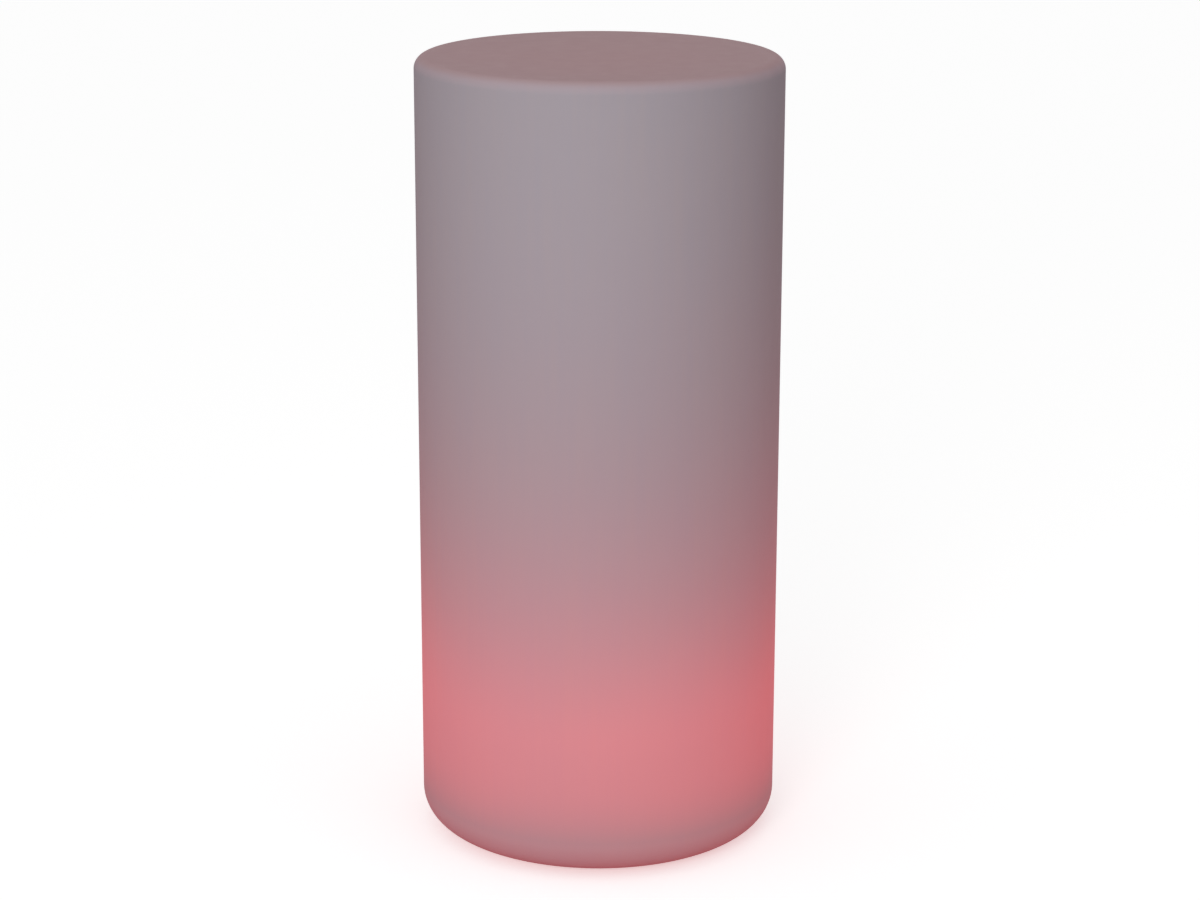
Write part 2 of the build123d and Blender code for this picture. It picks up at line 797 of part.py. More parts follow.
def push_button(x):
    """A dished cap that is held by its inner flange and presses a switch with its post."""
    r = button_diameter / 2
    face = unit_base - button_proud
    groove = button_ring_radius - button_ring_section / 2 - ring_clearance
    groove_half = button_ring_section / 2 + ring_side_play / 2
    flange_low = collar_top + button_gap
    flange_high = flange_low + button_flange_thickness
    post_top = tact_tip - button_travel - button_gap
    cap = turned(
        [(0, face), (r, face), (r, button_ring_z - groove_half), (groove, button_ring_z - groove_half),
         (groove, button_ring_z + groove_half), (r, button_ring_z + groove_half), (r, flange_low),
         (r + button_flange, flange_low), (r + button_flange, flange_high), (button_post / 2, flange_high),
         (button_post / 2, post_top), (0, post_top)],
        [0, button_edge_radius, 0, 0, 0, 0, 0, 0, 0, 0, 0, 0],
    )
    dish_reach = r - button_dish_margin
    dish_sphere = (dish_reach**2 + button_dish**2) / (2 * button_dish)
    cap -= Pos(0, 0, face + button_dish - dish_sphere) * Sphere(dish_sphere)
    return Pos(x, button_y, 0) * cap


def power_button():
    return push_button(power_button_x)


def colour_button():
    return push_button(colour_button_x)


def power_button_ring():
    return ring(button_ring_radius, button_ring_section, button_ring_z, power_button_x, button_y)


def colour_button_ring():
    return ring(button_ring_radius, button_ring_section, button_ring_z, colour_button_x, button_y)


# The charging socket and the flap over it

def charge_socket():
    """A round panel socket: a flange outside, a threaded barrel inside and two tags at the back."""
    flange = rod(jack_flange_diameter, jack_mouth, jack_flange_top)
    barrel = rod(jack_thread_diameter, jack_flange_top, jack_top)
    bore = rod(jack_bore_diameter, jack_mouth, jack_mouth + jack_bore_depth)
    tags = [
        block(jack_tag_thickness, jack_tag_width, jack_top - jack_tag_thickness, jack_top + jack_tag_height,
              jack_tag_offset, dy)
        for dy in in_a_row(side_wire_count, jack_tag_pitch)
    ]
    return Pos(socket_x, socket_y, 0) * (flange + barrel + tags - bore)


def socket_pin():
    return rod(jack_pin_diameter, jack_mouth + jack_pin_setback, jack_mouth + jack_bore_depth, socket_x, socket_y)


def socket_seal():
    bore = jack_thread_diameter + 2 * thread_clearance
    return tube(jack_flange_diameter, bore, jack_flange_top, pocket_floor, socket_x, socket_y)


def socket_nut():
    bore = rod(jack_thread_diameter + 2 * thread_clearance, 0, jack_nut_thickness)
    nut = extrude(RegularPolygon(jack_nut_size / 2, 6, major_radius=False), jack_nut_thickness)
    return Pos(socket_x, socket_y, pocket_top) * (nut - bore)


def socket_lead():
    tag_x = socket_x + jack_tag_offset + jack_tag_thickness / 2
    plug_front = side_plug_y - plug_depth / 2
    return [
        wire([(socket_plug_x + d, plug_front, side_wire_z), (socket_plug_x + d, socket_y - d, side_wire_z),
              (tag_x, socket_y - d, side_wire_z)])
        for d in in_a_row(side_wire_count, jack_tag_pitch)
    ]


def port_flap():
    """A flat flap, flush with the cover, that hangs by a narrower knuckle on a pin along its front edge."""
    top = unit_base + flap_thickness
    leaf_front = hinge_y + knuckle_diameter / 2 + flap_clearance
    leaf_back = pocket_back - flap_clearance
    knuckle_length = flap_width - 2 * pocket_corner
    neck_back = leaf_front + pocket_corner
    leaf = rounded_block(flap_width, leaf_back - leaf_front, pocket_corner - flap_clearance, unit_base, top,
                         socket_x, (leaf_front + leaf_back) / 2)
    neck = block(knuckle_length, neck_back - hinge_y, unit_base, top, socket_x, (hinge_y + neck_back) / 2)
    flap = leaf + neck + hinge_bar(knuckle_diameter, knuckle_length)
    return flap - hinge_bar(hinge_pin_diameter + 2 * knuckle_bore_play, flap_width)


def flap_seal():
    """A rubber pad on the flap with a nub that plugs the socket."""
    low = unit_base + flap_thickness
    pad_top = low + flap_pad_thickness
    nub = jack_bore_diameter - 2 * flap_plug_clearance
    return rod(flap_pad_diameter, low, pad_top, socket_x, socket_y) + rod(
        nub, pad_top, jack_mouth + flap_plug_depth, socket_x, socket_y
    )


def flap_pin():
    return hinge_bar(hinge_pin_diameter, pocket_width + 2 * hinge_pin_seat)


# The LED board on the housing's deck, and the dome over it

def deck_disc(radius, low, high):
    """A disc on the deck with holes for its screws and for the LED lead."""
    disc = rod(2 * radius, low, high) - rod(board_lead_hole, low, high, 0, lead_hole_y)
    return disc - [rod(small_clear_hole, low, high, x, y) for x, y in led_screw_places]


def heat_spreader():
    return deck_disc(led_board_radius + spreader_overhang, deck_top, spreader_top)


def led_board():
    return deck_disc(led_board_radius, spreader_top, led_board_top)


def leds():
    """Square LED packages in two rings, each with a round lens, turned to face outwards."""
    lens_top = led_board_top + led_height + led_lens_height
    package = block(led_size, led_size, led_board_top, led_board_top + led_height)
    package += rod(led_lens_diameter, led_board_top + led_height, lens_top)
    placed = []
    for circle, count in ((outer_led_circle, outer_led_count), (inner_led_circle, inner_led_count)):
        step = 360.0 / count
        placed += [Rot(0, 0, step * (i + 0.5)) * Pos(circle / 2, 0, 0) * package for i in range(count)]
    return placed


def led_connector():
    return block(led_plug_width, led_plug_depth, led_board_top, led_board_top + led_socket_height, 0, led_socket_y)


def led_lead():
    """The wires from the control board, up through the deck and over into the LED board's connector."""
    start = board_top + led_plug_height
    end = led_board_top + led_socket_height
    crest = end + led_wire_arch
    return [
        wire([(x, lead_hole_y, start), (x, lead_hole_y, crest), (x, led_socket_y, crest), (x, led_socket_y, end)])
        for x in in_a_row(led_wire_count, wire_pitch)
    ]


def lead_grommet():
    """A rubber grommet with a lip on both sides of the deck."""
    r = lead_hole_diameter / 2 - grommet_play
    bore = r - grommet_wall
    low, high = deck_under - grommet_lip_thickness, deck_top + grommet_lip_thickness
    grommet = turned(
        [(bore, low), (grommet_lip_radius, low), (grommet_lip_radius, deck_under), (r, deck_under), (r, deck_top),
         (grommet_lip_radius, deck_top), (grommet_lip_radius, high), (bore, high)]
    )
    return Pos(0, lead_hole_y, 0) * grommet


def led_screws():
    return [small_screw(short_screw_length, x, y, led_board_top, False) for x, y in led_screw_places]


def clear_dome():
    """A shallow clear cap with a screw flange, one wall thick."""
    crown = Pos(0, 0, dome_centre_z) * (Sphere(dome_sphere) - Sphere(dome_sphere - dome_wall))
    above_seat = rod(2 * dome_flange_radius, dome_seat, dome_flange_top + dome_rise + dome_wall)
    dome = (crown & above_seat) + tube(2 * dome_flange_radius, 2 * dome_mouth, dome_seat, dome_flange_top)
    return dome - [rod(small_clear_hole, dome_seat, dome_flange_top, x, y) for x, y in dome_screw_places]


def dome_gasket():
    gasket = tube(2 * dome_flange_radius, 2 * dome_mouth, deck_top, dome_seat)
    return gasket - [rod(small_clear_hole, deck_top, dome_seat, x, y) for x, y in dome_screw_places]


def dome_screws():
    return [small_screw(small_screw_length, x, y, dome_flange_top, False) for x, y in dome_screw_places]


pieces = [
    column_shell, thread_inserts, rubber_feet,
    unit_housing, unit_gasket, unit_screws, unit_washers,
    bottom_cover, cover_ring, cover_screws,
    battery_cells, battery_tabs, battery_board, battery_return_wire, battery_lead,
    battery_pad, battery_strap, strap_screws,
    control_board, board_screws, control_chips, transistors, capacitors, inductor, board_connectors,
    tact_switches, indicator_led, light_pipe,
    power_button, colour_button, power_button_ring, colour_button_ring,
    charge_socket, socket_pin, socket_seal, socket_nut, socket_lead, port_flap, flap_seal, flap_pin,
    heat_spreader, led_board, leds, led_connector, led_lead, lead_grommet, led_screws,
    clear_dome, dome_gasket, dome_screws,
]

os.makedirs("parts", exist_ok=True)
for piece in pieces:
    made = piece()
    if isinstance(made, list):
        made = Compound(children=made)
    export_step(made, f"parts/{piece.__name__}.step")
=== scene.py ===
"""An outdoor light column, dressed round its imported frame. Metres, +Z up, front towards -Y.

The sections follow the lamp as it is put together: the moulded column, then the light unit that is screwed up
into its base, from the housing and its electronics to the dome, the buttons and the charging socket.
"""

import math

import bpy
from mathutils import Euler, Matrix, Quaternion, Vector


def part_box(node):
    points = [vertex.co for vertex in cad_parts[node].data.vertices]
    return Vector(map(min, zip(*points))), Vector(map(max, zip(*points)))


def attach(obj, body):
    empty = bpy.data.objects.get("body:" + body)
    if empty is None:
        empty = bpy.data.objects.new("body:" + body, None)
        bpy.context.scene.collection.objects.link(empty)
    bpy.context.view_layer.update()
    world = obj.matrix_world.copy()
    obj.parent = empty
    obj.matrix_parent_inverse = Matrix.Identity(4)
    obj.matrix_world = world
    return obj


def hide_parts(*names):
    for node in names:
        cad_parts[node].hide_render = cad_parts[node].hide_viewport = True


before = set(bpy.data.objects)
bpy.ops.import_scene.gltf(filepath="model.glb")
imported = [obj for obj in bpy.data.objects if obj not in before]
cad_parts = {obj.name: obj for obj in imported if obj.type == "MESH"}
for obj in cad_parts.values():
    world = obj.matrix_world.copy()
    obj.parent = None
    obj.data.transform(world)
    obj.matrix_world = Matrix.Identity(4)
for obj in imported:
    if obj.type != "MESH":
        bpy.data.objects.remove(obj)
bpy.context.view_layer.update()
scene = bpy.context.scene
scene.view_settings.view_transform = "Standard"


# The camera stands in front of the lamp and looks slightly down on it, through a long lens. Its place comes
# from fitting the lamp's outline to the photograph, whose frame is 1200 pixels wide.

camera_distance = 2.8113
camera_height = 1.1661
camera_pitch = 0.2731
camera_yaw = 0.0004
camera_roll = 0.0024
focal_pixels = 2993.5
photo_width = 1200

camera = bpy.data.cameras.new("camera")
camera.lens = camera.sensor_width * focal_pixels / photo_width
camera_object = bpy.data.objects.new("camera", camera)
aim = Euler((math.pi / 2 - camera_pitch, 0, -camera_yaw)).to_quaternion()
camera_object.rotation_mode = "QUATERNION"
camera_object.rotation_quaternion = aim @ Quaternion((0, 0, 1), camera_roll)
camera_object.location = (0, -camera_distance, camera_height)
scene.collection.objects.link(camera_object)
scene.camera = camera_object


# The studio is one white floor under an even white sky, with one wide soft lamp to the front left. The
# floor and the sky look white to the camera, and the floor keeps the column's shadow.

sky_light = 0.58
key_power = 3.8
key_size = 0.8
key_spread = math.radians(90)
key_place = Vector((-0.40, -1.75, 0.85))
key_target = Vector((0, 0, 0.75))
floor_size = 40.0
floor_bounce = (0.50, 0.49, 0.50, 1)
floor_white = (0.86, 0.86, 0.86, 1)
floor_lift = 0.48


def node(tree, kind, sockets=None, **settings):
    """A node with its settings, and its inputs set to values or linked from other nodes' outputs."""
    made = tree.nodes.new(kind)
    for name, value in settings.items():
        setattr(made, name, value)
    for key, value in (sockets or {}).items():
        if isinstance(value, bpy.types.NodeSocket):
            tree.links.new(value, made.inputs[key])
        else:
            made.inputs[key].default_value = value
    return made


def new_object(name, data):
    """An object in the scene, at the origin."""
    made = bpy.data.objects.new(name, data)
    scene.collection.objects.link(made)
    return made


world = bpy.data.worlds.new("sky")
scene.world = world
world.use_nodes = True
world.node_tree.nodes.clear()
paths = node(world.node_tree, "ShaderNodeLightPath")
direct = node(world.node_tree, "ShaderNodeMath", {0: paths.outputs["Is Camera Ray"],
              1: paths.outputs["Is Glossy Ray"]}, operation="MAXIMUM")
seen = node(world.node_tree, "ShaderNodeMath", {0: direct.outputs[0],
            1: paths.outputs["Is Transmission Ray"]}, operation="MAXIMUM")
strength = node(world.node_tree, "ShaderNodeMapRange", {"Value": seen.outputs[0], "To Min": sky_light,
                "To Max": 1.0})
sky = node(world.node_tree, "ShaderNodeBackground", {"Color": (1, 1, 1, 1), "Strength": strength.outputs[0]})
node(world.node_tree, "ShaderNodeOutputWorld", {"Surface": sky.outputs[0]})

key = bpy.data.lights.new("key", "AREA")
key.shape = "DISK"
key.size = key_size
key.energy = key_power
key.spread = key_spread
key_object = new_object("key", key)
key_object.location = key_place
key_object.rotation_mode = "QUATERNION"
key_object.rotation_quaternion = (key_target - key_place).to_track_quat("-Z", "Y")

floor_finish = bpy.data.materials.new("studio_floor")
floor_finish.use_nodes = True
floor_finish.node_tree.nodes.clear()
paths = node(floor_finish.node_tree, "ShaderNodeLightPath")
floor_colour = node(floor_finish.node_tree, "ShaderNodeMix", {"Factor": paths.outputs["Is Camera Ray"],
                    "A": floor_bounce, "B": floor_white}, data_type="RGBA")
matte = node(floor_finish.node_tree, "ShaderNodeBsdfDiffuse", {"Color": floor_colour.outputs["Result"]})
lift = node(floor_finish.node_tree, "ShaderNodeMath", {0: paths.outputs["Is Camera Ray"], 1: floor_lift},
            operation="MULTIPLY")
glow = node(floor_finish.node_tree, "ShaderNodeEmission", {"Strength": lift.outputs[0]})
both = node(floor_finish.node_tree, "ShaderNodeAddShader", {0: matte.outputs[0], 1: glow.outputs[0]})
node(floor_finish.node_tree, "ShaderNodeOutputMaterial", {"Surface": both.outputs[0]})
floor_mesh = bpy.data.meshes.new("floor")
half = floor_size / 2
floor_corners = [(-half, -half, 0), (half, -half, 0), (half, half, 0), (-half, half, 0)]
floor_mesh.from_pydata(floor_corners, [], [(0, 1, 2, 3)])
floor_mesh.materials.append(floor_finish)
new_object("floor", floor_mesh)


# The column is one rotationally moulded shell of translucent polyethylene, closed at the top and turned in at
# the base. Its skin is matte and faintly uneven from the mould, and its upward faces carry a painted shade,
# darker and redder than the sides. Red light from the LEDs below shows through it: brightest a hand's breadth
# above them, fading towards the top.

wall = 0.004
top_rounding = 0.012
foot_rounding = 0.032
standing_rounding = 0.005
ceiling_rounding = 0.003
seat_height = 0.014
opening_radius = 0.085
recess_radius = 0.105
least_rounding = 0.0005
arc_step = math.radians(5)
small_rounding = 0.0005
small_arc_step = math.radians(30)
column_segments = 256


def socket_named(tree, name):
    """The identifier of a tree's named input."""
    return next(item.identifier for item in tree.interface.items_tree if item.name == name)


def geometry_tree(name, **inputs):
    """An empty geometry tree with a geometry input, the named inputs after it, and a geometry output."""
    tree = bpy.data.node_groups.new(name, "GeometryNodeTree")
    tree.interface.new_socket("Geometry", in_out="OUTPUT", socket_type="NodeSocketGeometry")
    tree.interface.new_socket("Geometry", in_out="INPUT", socket_type="NodeSocketGeometry")
    for label, kind in inputs.items():
        tree.interface.new_socket(label, in_out="INPUT", socket_type="NodeSocket" + kind)
    return tree, node(tree, "NodeGroupInput").outputs


def end_with(tree, geometry, material):
    """Real, smooth-shaded geometry in its material, as the tree's output."""
    real = node(tree, "GeometryNodeRealizeInstances", {"Geometry": geometry})
    smooth = node(tree, "GeometryNodeSetShadeSmooth", {"Geometry": real.outputs[0]})
    dressed = node(tree, "GeometryNodeSetMaterial", {"Geometry": smooth.outputs[0], "Material": material})
    node(tree, "NodeGroupOutput", {"Geometry": dressed.outputs[0]})


def grown(name, base, tree, sharp=30, **inputs):
    """A plain mesh object: a base mesh put through a geometry tree, with edges over an angle kept sharp."""
    draft = new_object(name + "_draft", base)
    form = draft.modifiers.new("form", "NODES")
    form.node_group = tree
    for label, value in inputs.items():
        form[socket_named(tree, label)] = value
    graph = bpy.context.evaluated_depsgraph_get()
    mesh = bpy.data.meshes.new_from_object(draft.evaluated_get(graph), depsgraph=graph)
    mesh.name = name
    mesh.set_sharp_from_angle(angle=math.radians(sharp))
    bpy.data.objects.remove(draft)
    return new_object(name, mesh)


def rounded_outline(corners):
    """Points (radius, height) along a closed outline of corners (radius, height, rounding)."""
    points = []
    for i, (x, z, rounding) in enumerate(corners):
        corner = Vector((x, z))
        before = Vector(corners[i - 1][:2])
        after = Vector(corners[(i + 1) % len(corners)][:2])
        if rounding == 0:
            points.append(corner)
            continue
        back, ahead = (before - corner).normalized(), (after - corner).normalized()
        half_angle = back.angle(ahead) / 2
        centre = corner + (back + ahead).normalized() * rounding / math.sin(half_angle)
        start = corner + back * rounding / math.tan(half_angle) - centre
        end = corner + ahead * rounding / math.tan(half_angle) - centre
        sweep = math.pi - 2 * half_angle
        steps = max(2, math.ceil(sweep / (arc_step if rounding > small_rounding else small_arc_step)))
        for k in range(steps + 1):
            t = k / steps
            swung = start * math.sin((1 - t) * sweep) + end * math.sin(t * sweep)
            points.append(centre + swung / math.sin(sweep))
    return points


turning, given = geometry_tree("turned_form", Segments="Int", Material="Material")
path_radius = 0.001
seam_gap = 0.000001
path = node(turning, "GeometryNodeCurvePrimitiveCircle", {"Resolution": given["Segments"],
            "Radius": path_radius})
section = node(turning, "GeometryNodeMeshToCurve", {"Mesh": given["Geometry"]})
swept = node(turning, "GeometryNodeCurveToMesh", {"Curve": path.outputs[0],
             "Profile Curve": section.outputs[0]})
closed = node(turning, "GeometryNodeMergeByDistance", {"Geometry": swept.outputs[0], "Distance": seam_gap})
outward = node(turning, "GeometryNodeFlipFaces", {"Mesh": closed.outputs[0]})
end_with(turning, outward.outputs[0], given["Material"])


def turned(name, corners, material, segments=48, sharp=30):
    """A solid turned about Z. Its half section's corners run outwards along the base and up the outside.
    An outline that meets the axis starts and ends on it."""
    points = rounded_outline(corners)
    outline = bpy.data.meshes.new(name + "_outline")
    ends = [(i, (i + 1) % len(points)) for i in range(len(points))]
    edges = [(i, k) for i, k in ends if max(points[i].x, points[k].x) > 0]
    outline.from_pydata([(p.x - path_radius, -p.y, 0) for p in points], edges, [])
    return grown(name, outline, turning, sharp, Segments=segments, Material=material)


def material(name):
    """A node material, its tree and its shader, ready for its colour and finish to be linked."""
    made = bpy.data.materials.new(name)
    made.use_nodes = True
    made.node_tree.nodes.clear()
    shader = node(made.node_tree, "ShaderNodeBsdfPrincipled")
    node(made.node_tree, "ShaderNodeOutputMaterial", {"Surface": shader.outputs[0]})
    return made, made.node_tree, shader


def mixed(tree, factor, one, other):
    """One colour blended into another."""
    return node(tree, "ShaderNodeMix", {0: factor, 6: one, 7: other}, data_type="RGBA").outputs[2]


def maths(tree, operation, *values):
    """A sum, product or other plain operation on values."""
    return node(tree, "ShaderNodeMath", dict(enumerate(values)), operation=operation).outputs[0]


def grain(tree, scale, detail=2.0, stretch=(1, 1, 1)):
    """Noise fixed to the piece, as a value from 0 to 1, stretched along its axes."""
    place = node(tree, "ShaderNodeTexCoord").outputs["Object"]
    frame_of = node(tree, "ShaderNodeMapping", {"Vector": place, "Scale": stretch})
    return node(tree, "ShaderNodeTexNoise", {"Vector": frame_of.outputs[0], "Scale": scale,
                "Detail": detail}).outputs["Fac"]


def ranged(tree, value, low, high, from_low=0.3, from_high=0.7, smooth=False):
    """A value spread from one range, by default the range that noise fills, to another, and held in it."""
    kind = "SMOOTHSTEP" if smooth else "LINEAR"
    return node(tree, "ShaderNodeMapRange", {"Value": value, "From Min": from_low, "From Max": from_high,
                "To Min": low, "To Max": high}, interpolation_type=kind).outputs[0]


def bumped(tree, shader, layers):
    """Surface relief from (height, depth in metres) layers, the coarsest first."""
    normal = None
    for height, depth in layers:
        sockets = {"Height": height, "Distance": depth, "Strength": 1.0}
        if normal:
            sockets["Normal"] = normal
        normal = node(tree, "ShaderNodeBump", sockets).outputs[0]
    tree.links.new(normal, shader.inputs["Normal"])


shell_low, shell_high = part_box("column_shell")
column_radius = shell_high.x
column_base = shell_low.z
column_top = shell_high.z
brightest_wall = 3 * math.sqrt(3) / 16 / column_radius ** 2

cool_grey = (0.310, 0.312, 0.350, 1)
warm_grey = (0.330, 0.318, 0.342, 1)
# A darker, redder grey painted on the top as shade, with how much of it and over which slopes it comes in.
top_shade_grey = (0.306, 0.288, 0.298, 1)
top_shade_share = 0.85
top_shade_slopes = (0.5, 0.95)
streak_share = 0.5
glow_drift = (0.97, 1.03)
skin_roughness = (0.70, 0.82)
skin_gloss = 0.15
mould_waves = (14.0, 0.0006)
mould_grain = (700.0, 0.00006)
lamp_red = (0.43, 0.006, 0.010)
light_source = (0, 0, 0.039)
even_glow = 0.04
scattered_glow = 0.55
scatter_low = 0.02
scatter_high = 0.13

column_plastic, tree, shader = material("moulded_polyethylene")
streaks = ranged(tree, grain(tree, scale=9.0, detail=4.0, stretch=(14, 14, 0.6)), 0, streak_share)
clouds = ranged(tree, grain(tree, scale=5.0, detail=3.0), 0, 1 - streak_share)
tone = maths(tree, "ADD", streaks, clouds)
coordinates = node(tree, "ShaderNodeTexCoord").outputs
upward = node(tree, "ShaderNodeSeparateXYZ", {0: coordinates["Normal"]}).outputs["Z"]
# Painted shade: faces that point up are blended into the darker, redder grey.
top_shade = ranged(tree, upward, 0.0, top_shade_share, *top_shade_slopes, smooth=True)
skin_colour = mixed(tree, top_shade, mixed(tree, tone, cool_grey, warm_grey), top_shade_grey)
tree.links.new(skin_colour, shader.inputs["Base Color"])

ray = node(tree, "ShaderNodeVectorMath", {0: coordinates["Object"], 1: light_source},
           operation="SUBTRACT").outputs[0]
reach = node(tree, "ShaderNodeVectorMath", {0: ray}, operation="LENGTH").outputs["Value"]
facing = node(tree, "ShaderNodeVectorMath", {0: ray, 1: coordinates["Normal"]},
              operation="DOT_PRODUCT").outputs["Value"]
rise = node(tree, "ShaderNodeSeparateXYZ", {0: ray}).outputs["Z"]
arriving = maths(tree, "MULTIPLY", maths(tree, "MAXIMUM", facing, 0.0), maths(tree, "MAXIMUM", rise, 0.0))
direct_glow = maths(tree, "DIVIDE", arriving, maths(tree, "POWER", reach, 4.0))
direct_glow = maths(tree, "DIVIDE", direct_glow, brightest_wall)
height = node(tree, "ShaderNodeSeparateXYZ", {0: coordinates["Object"]}).outputs["Z"]
base_glow = ranged(tree, height, scattered_glow, 0.0, scatter_low, scatter_high, smooth=True)
glow = maths(tree, "ADD", maths(tree, "ADD", direct_glow, base_glow), even_glow)
glow = maths(tree, "MULTIPLY", glow, ranged(tree, grain(tree, scale=6.0), *glow_drift))
emitted = node(tree, "ShaderNodeVectorMath", {0: lamp_red, "Scale": glow}, operation="SCALE").outputs[0]
tree.links.new(emitted, shader.inputs["Emission Color"])
shader.inputs["Emission Strength"].default_value = 1.0

roughness = ranged(tree, grain(tree, scale=60.0, detail=3.0), *skin_roughness)
tree.links.new(roughness, shader.inputs["Roughness"])
shader.inputs["Specular IOR Level"].default_value = skin_gloss
bumped(tree, shader, [(grain(tree, scale), depth) for scale, depth in (mould_waves, mould_grain)])

shell = turned("shell", [
    (0, column_top - wall, 0),
    (column_radius - wall, column_top - wall, top_rounding - wall),
    (column_radius - wall, column_base + wall, foot_rounding - wall),
    (recess_radius + wall, column_base + wall, standing_rounding - wall),
    (recess_radius + wall, seat_height + wall, ceiling_rounding + wall),
    (opening_radius, seat_height + wall, least_rounding),
    (opening_radius, seat_height, least_rounding),
    (recess_radius, seat_height, ceiling_rounding),
    (recess_radius, column_base, standing_rounding),
    (column_radius, column_base, foot_rounding),
    (column_radius, column_top, top_rounding),
    (0, column_top, 0),
], column_plastic, column_segments)


# The seat thickens into a boss over each of the six threaded inserts, and the standing ring into a pad over
# each of the six pockets for the feet. The polyethylene flows round the inserts as the column is moulded.

screw_count = 6
insert_circle = 0.094
insert_radius = 0.0036
insert_length = 0.011
boss_radius = 0.0076
boss_top = 0.029
boss_rounding = 0.004
foot_circle = 0.124
foot_radius = 0.012
foot_height = 0.005
pad_radius = 0.0162
pad_top = 0.009
pad_rounding = 0.0018
snug = 0.00002
off_the_grid = 0.031
boss_segments = 40


repeating, given = geometry_tree("repeated_piece", Piece="Object", Material="Material")
turn = node(repeating, "GeometryNodeInputNamedAttribute", {"Name": "turn"}, data_type="FLOAT_VECTOR")
pattern = node(repeating, "GeometryNodeObjectInfo", {"Object": given["Piece"]})
set_out = node(repeating, "GeometryNodeInstanceOnPoints", {"Points": given["Geometry"],
               "Instance": pattern.outputs["Geometry"], "Rotation": turn.outputs["Attribute"]})
end_with(repeating, set_out.outputs[0], given["Material"])


def repeated(name, piece, places, material, turns=None, sharp=30):
    """One piece at each place, turned by its angles about X, Y and Z, all joined as one mesh."""
    spots = bpy.data.meshes.new(name + "_places")
    spots.from_pydata([tuple(place) for place in places], [], [])
    angles = spots.attributes.new("turn", "FLOAT_VECTOR", "POINT")
    for item, turned_by in zip(angles.data, turns or [(0, 0, 0)] * len(places)):
        item.vector = turned_by
    made = grown(name, spots, repeating, sharp, Piece=piece, Material=material)
    bpy.data.objects.remove(piece)
    return made


def on_circle(radius, count, height, first=0.0):
    """Places spaced evenly on a circle about the lamp's axis."""
    angles = [first + 2 * math.pi * i / count for i in range(count)]
    return [(radius * math.cos(a), radius * math.sin(a), height) for a in angles]


moulding, given = geometry_tree("moulded_bosses", Bosses="Object", Pads="Object", Holes="Object",
                               Pockets="Object", Material="Material")
details = {label: node(moulding, "GeometryNodeObjectInfo", {"Object": given[label]}).outputs["Geometry"]
           for label in ("Bosses", "Pads", "Holes", "Pockets")}
thickened = node(moulding, "GeometryNodeMeshBoolean", {"Mesh 2": given["Geometry"]}, operation="UNION",
                 solver="MANIFOLD")
hollowed = node(moulding, "GeometryNodeMeshBoolean", {"Mesh 1": thickened.outputs["Mesh"]},
                operation="DIFFERENCE", solver="MANIFOLD")
for label, stage in (("Bosses", thickened), ("Pads", thickened), ("Holes", hollowed), ("Pockets", hollowed)):
    moulding.links.new(details[label], stage.inputs["Mesh 2"])
end_with(moulding, hollowed.outputs["Mesh"], given["Material"])


def plugs_on_circle(name, radius, low, high, rounding, spots):
    """Round plugs turned a little about themselves, so that no edge of theirs lies on one of the shell's."""
    plug = turned(name + "_form", [(0, low, 0), (radius, low, 0), (radius, high, rounding), (0, high, 0)],
                  column_plastic, boss_segments)
    return repeated(name, plug, spots, column_plastic, [(0, 0, off_the_grid)] * len(spots))


insert_spots = on_circle(insert_circle, screw_count, 0)
feet_places = on_circle(foot_circle, screw_count, 0, math.pi / screw_count)
bosses = plugs_on_circle("bosses", boss_radius, seat_height + wall / 2, boss_top, boss_rounding, insert_spots)
pads = plugs_on_circle("pads", pad_radius, column_base + wall / 2, pad_top, pad_rounding, feet_places)
holes = plugs_on_circle("holes", insert_radius + snug, 0, seat_height + insert_length + snug, 0, insert_spots)
pockets = plugs_on_circle("pockets", foot_radius + snug, 0, foot_height + snug, 0, feet_places)
column = grown("column", shell.data, moulding, Bosses=bosses, Pads=pads, Holes=holes, Pockets=pockets,
               Material=column_plastic)
for helper in (shell, bosses, pads, holes, pockets):
    bpy.data.objects.remove(helper)
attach(column, "lamp")
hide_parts("column_shell")


# Six round rubber feet are bonded into pockets of the standing ring. Each is moulded in one piece, with a
# bevelled edge and shallow grip rings round its middle.

foot_contact = 0.010
grip_rings = (0.0030, 0.0055, 0.0080)
grip_half = 0.0005
grip_depth = 0.0006
grip_edge = 0.0001
grip_root = 0.0002
contact_edge = 0.0006
bevel_edge = 0.0004
bonded_edge = 0.0002
foot_segments = 64


def finish(name, one, other, roughness, relief=(), scale=30.0, stretch=(1, 1, 1), metallic=0.0, specular=0.5):
    """A material that drifts between two tones and two roughnesses, with layers of relief (scale, depth)."""
    made, tree, shader = material(name)
    tone = ranged(tree, grain(tree, scale, 4.0, stretch), 0, 1)
    tree.links.new(mixed(tree, tone, (*one, 1), (*other, 1)), shader.inputs["Base Color"])
    tree.links.new(ranged(tree, grain(tree, 3 * scale, 3.0, stretch), *roughness), shader.inputs["Roughness"])
    shader.inputs["Metallic"].default_value = metallic
    shader.inputs["Specular IOR Level"].default_value = specular
    if relief:
        bumped(tree, shader, [(grain(tree, fineness, 2.0, stretch), depth) for fineness, depth in relief])
    return made


rubber_black = finish("moulded_rubber", (0.020, 0.020, 0.021), (0.034, 0.034, 0.035), (0.62, 0.80),
                      [(160, 0.0002), (1400, 0.00004)], scale=60)
foot_outline = [(0, 0, 0)]
for ring_radius in grip_rings:
    inner, outer = ring_radius - grip_half, ring_radius + grip_half
    foot_outline += [(inner, 0, grip_edge), (inner, grip_depth, grip_root), (outer, grip_depth, grip_root),
                     (outer, 0, grip_edge)]
foot_outline += [(foot_contact, 0, contact_edge), (foot_radius, column_base, bevel_edge),
                 (foot_radius, foot_height, bonded_edge), (0, foot_height, 0)]
foot = turned("foot", foot_outline, rubber_black, foot_segments)
feet = repeated("feet", foot, feet_places, rubber_black)
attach(feet, "lamp")
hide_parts("rubber_feet")


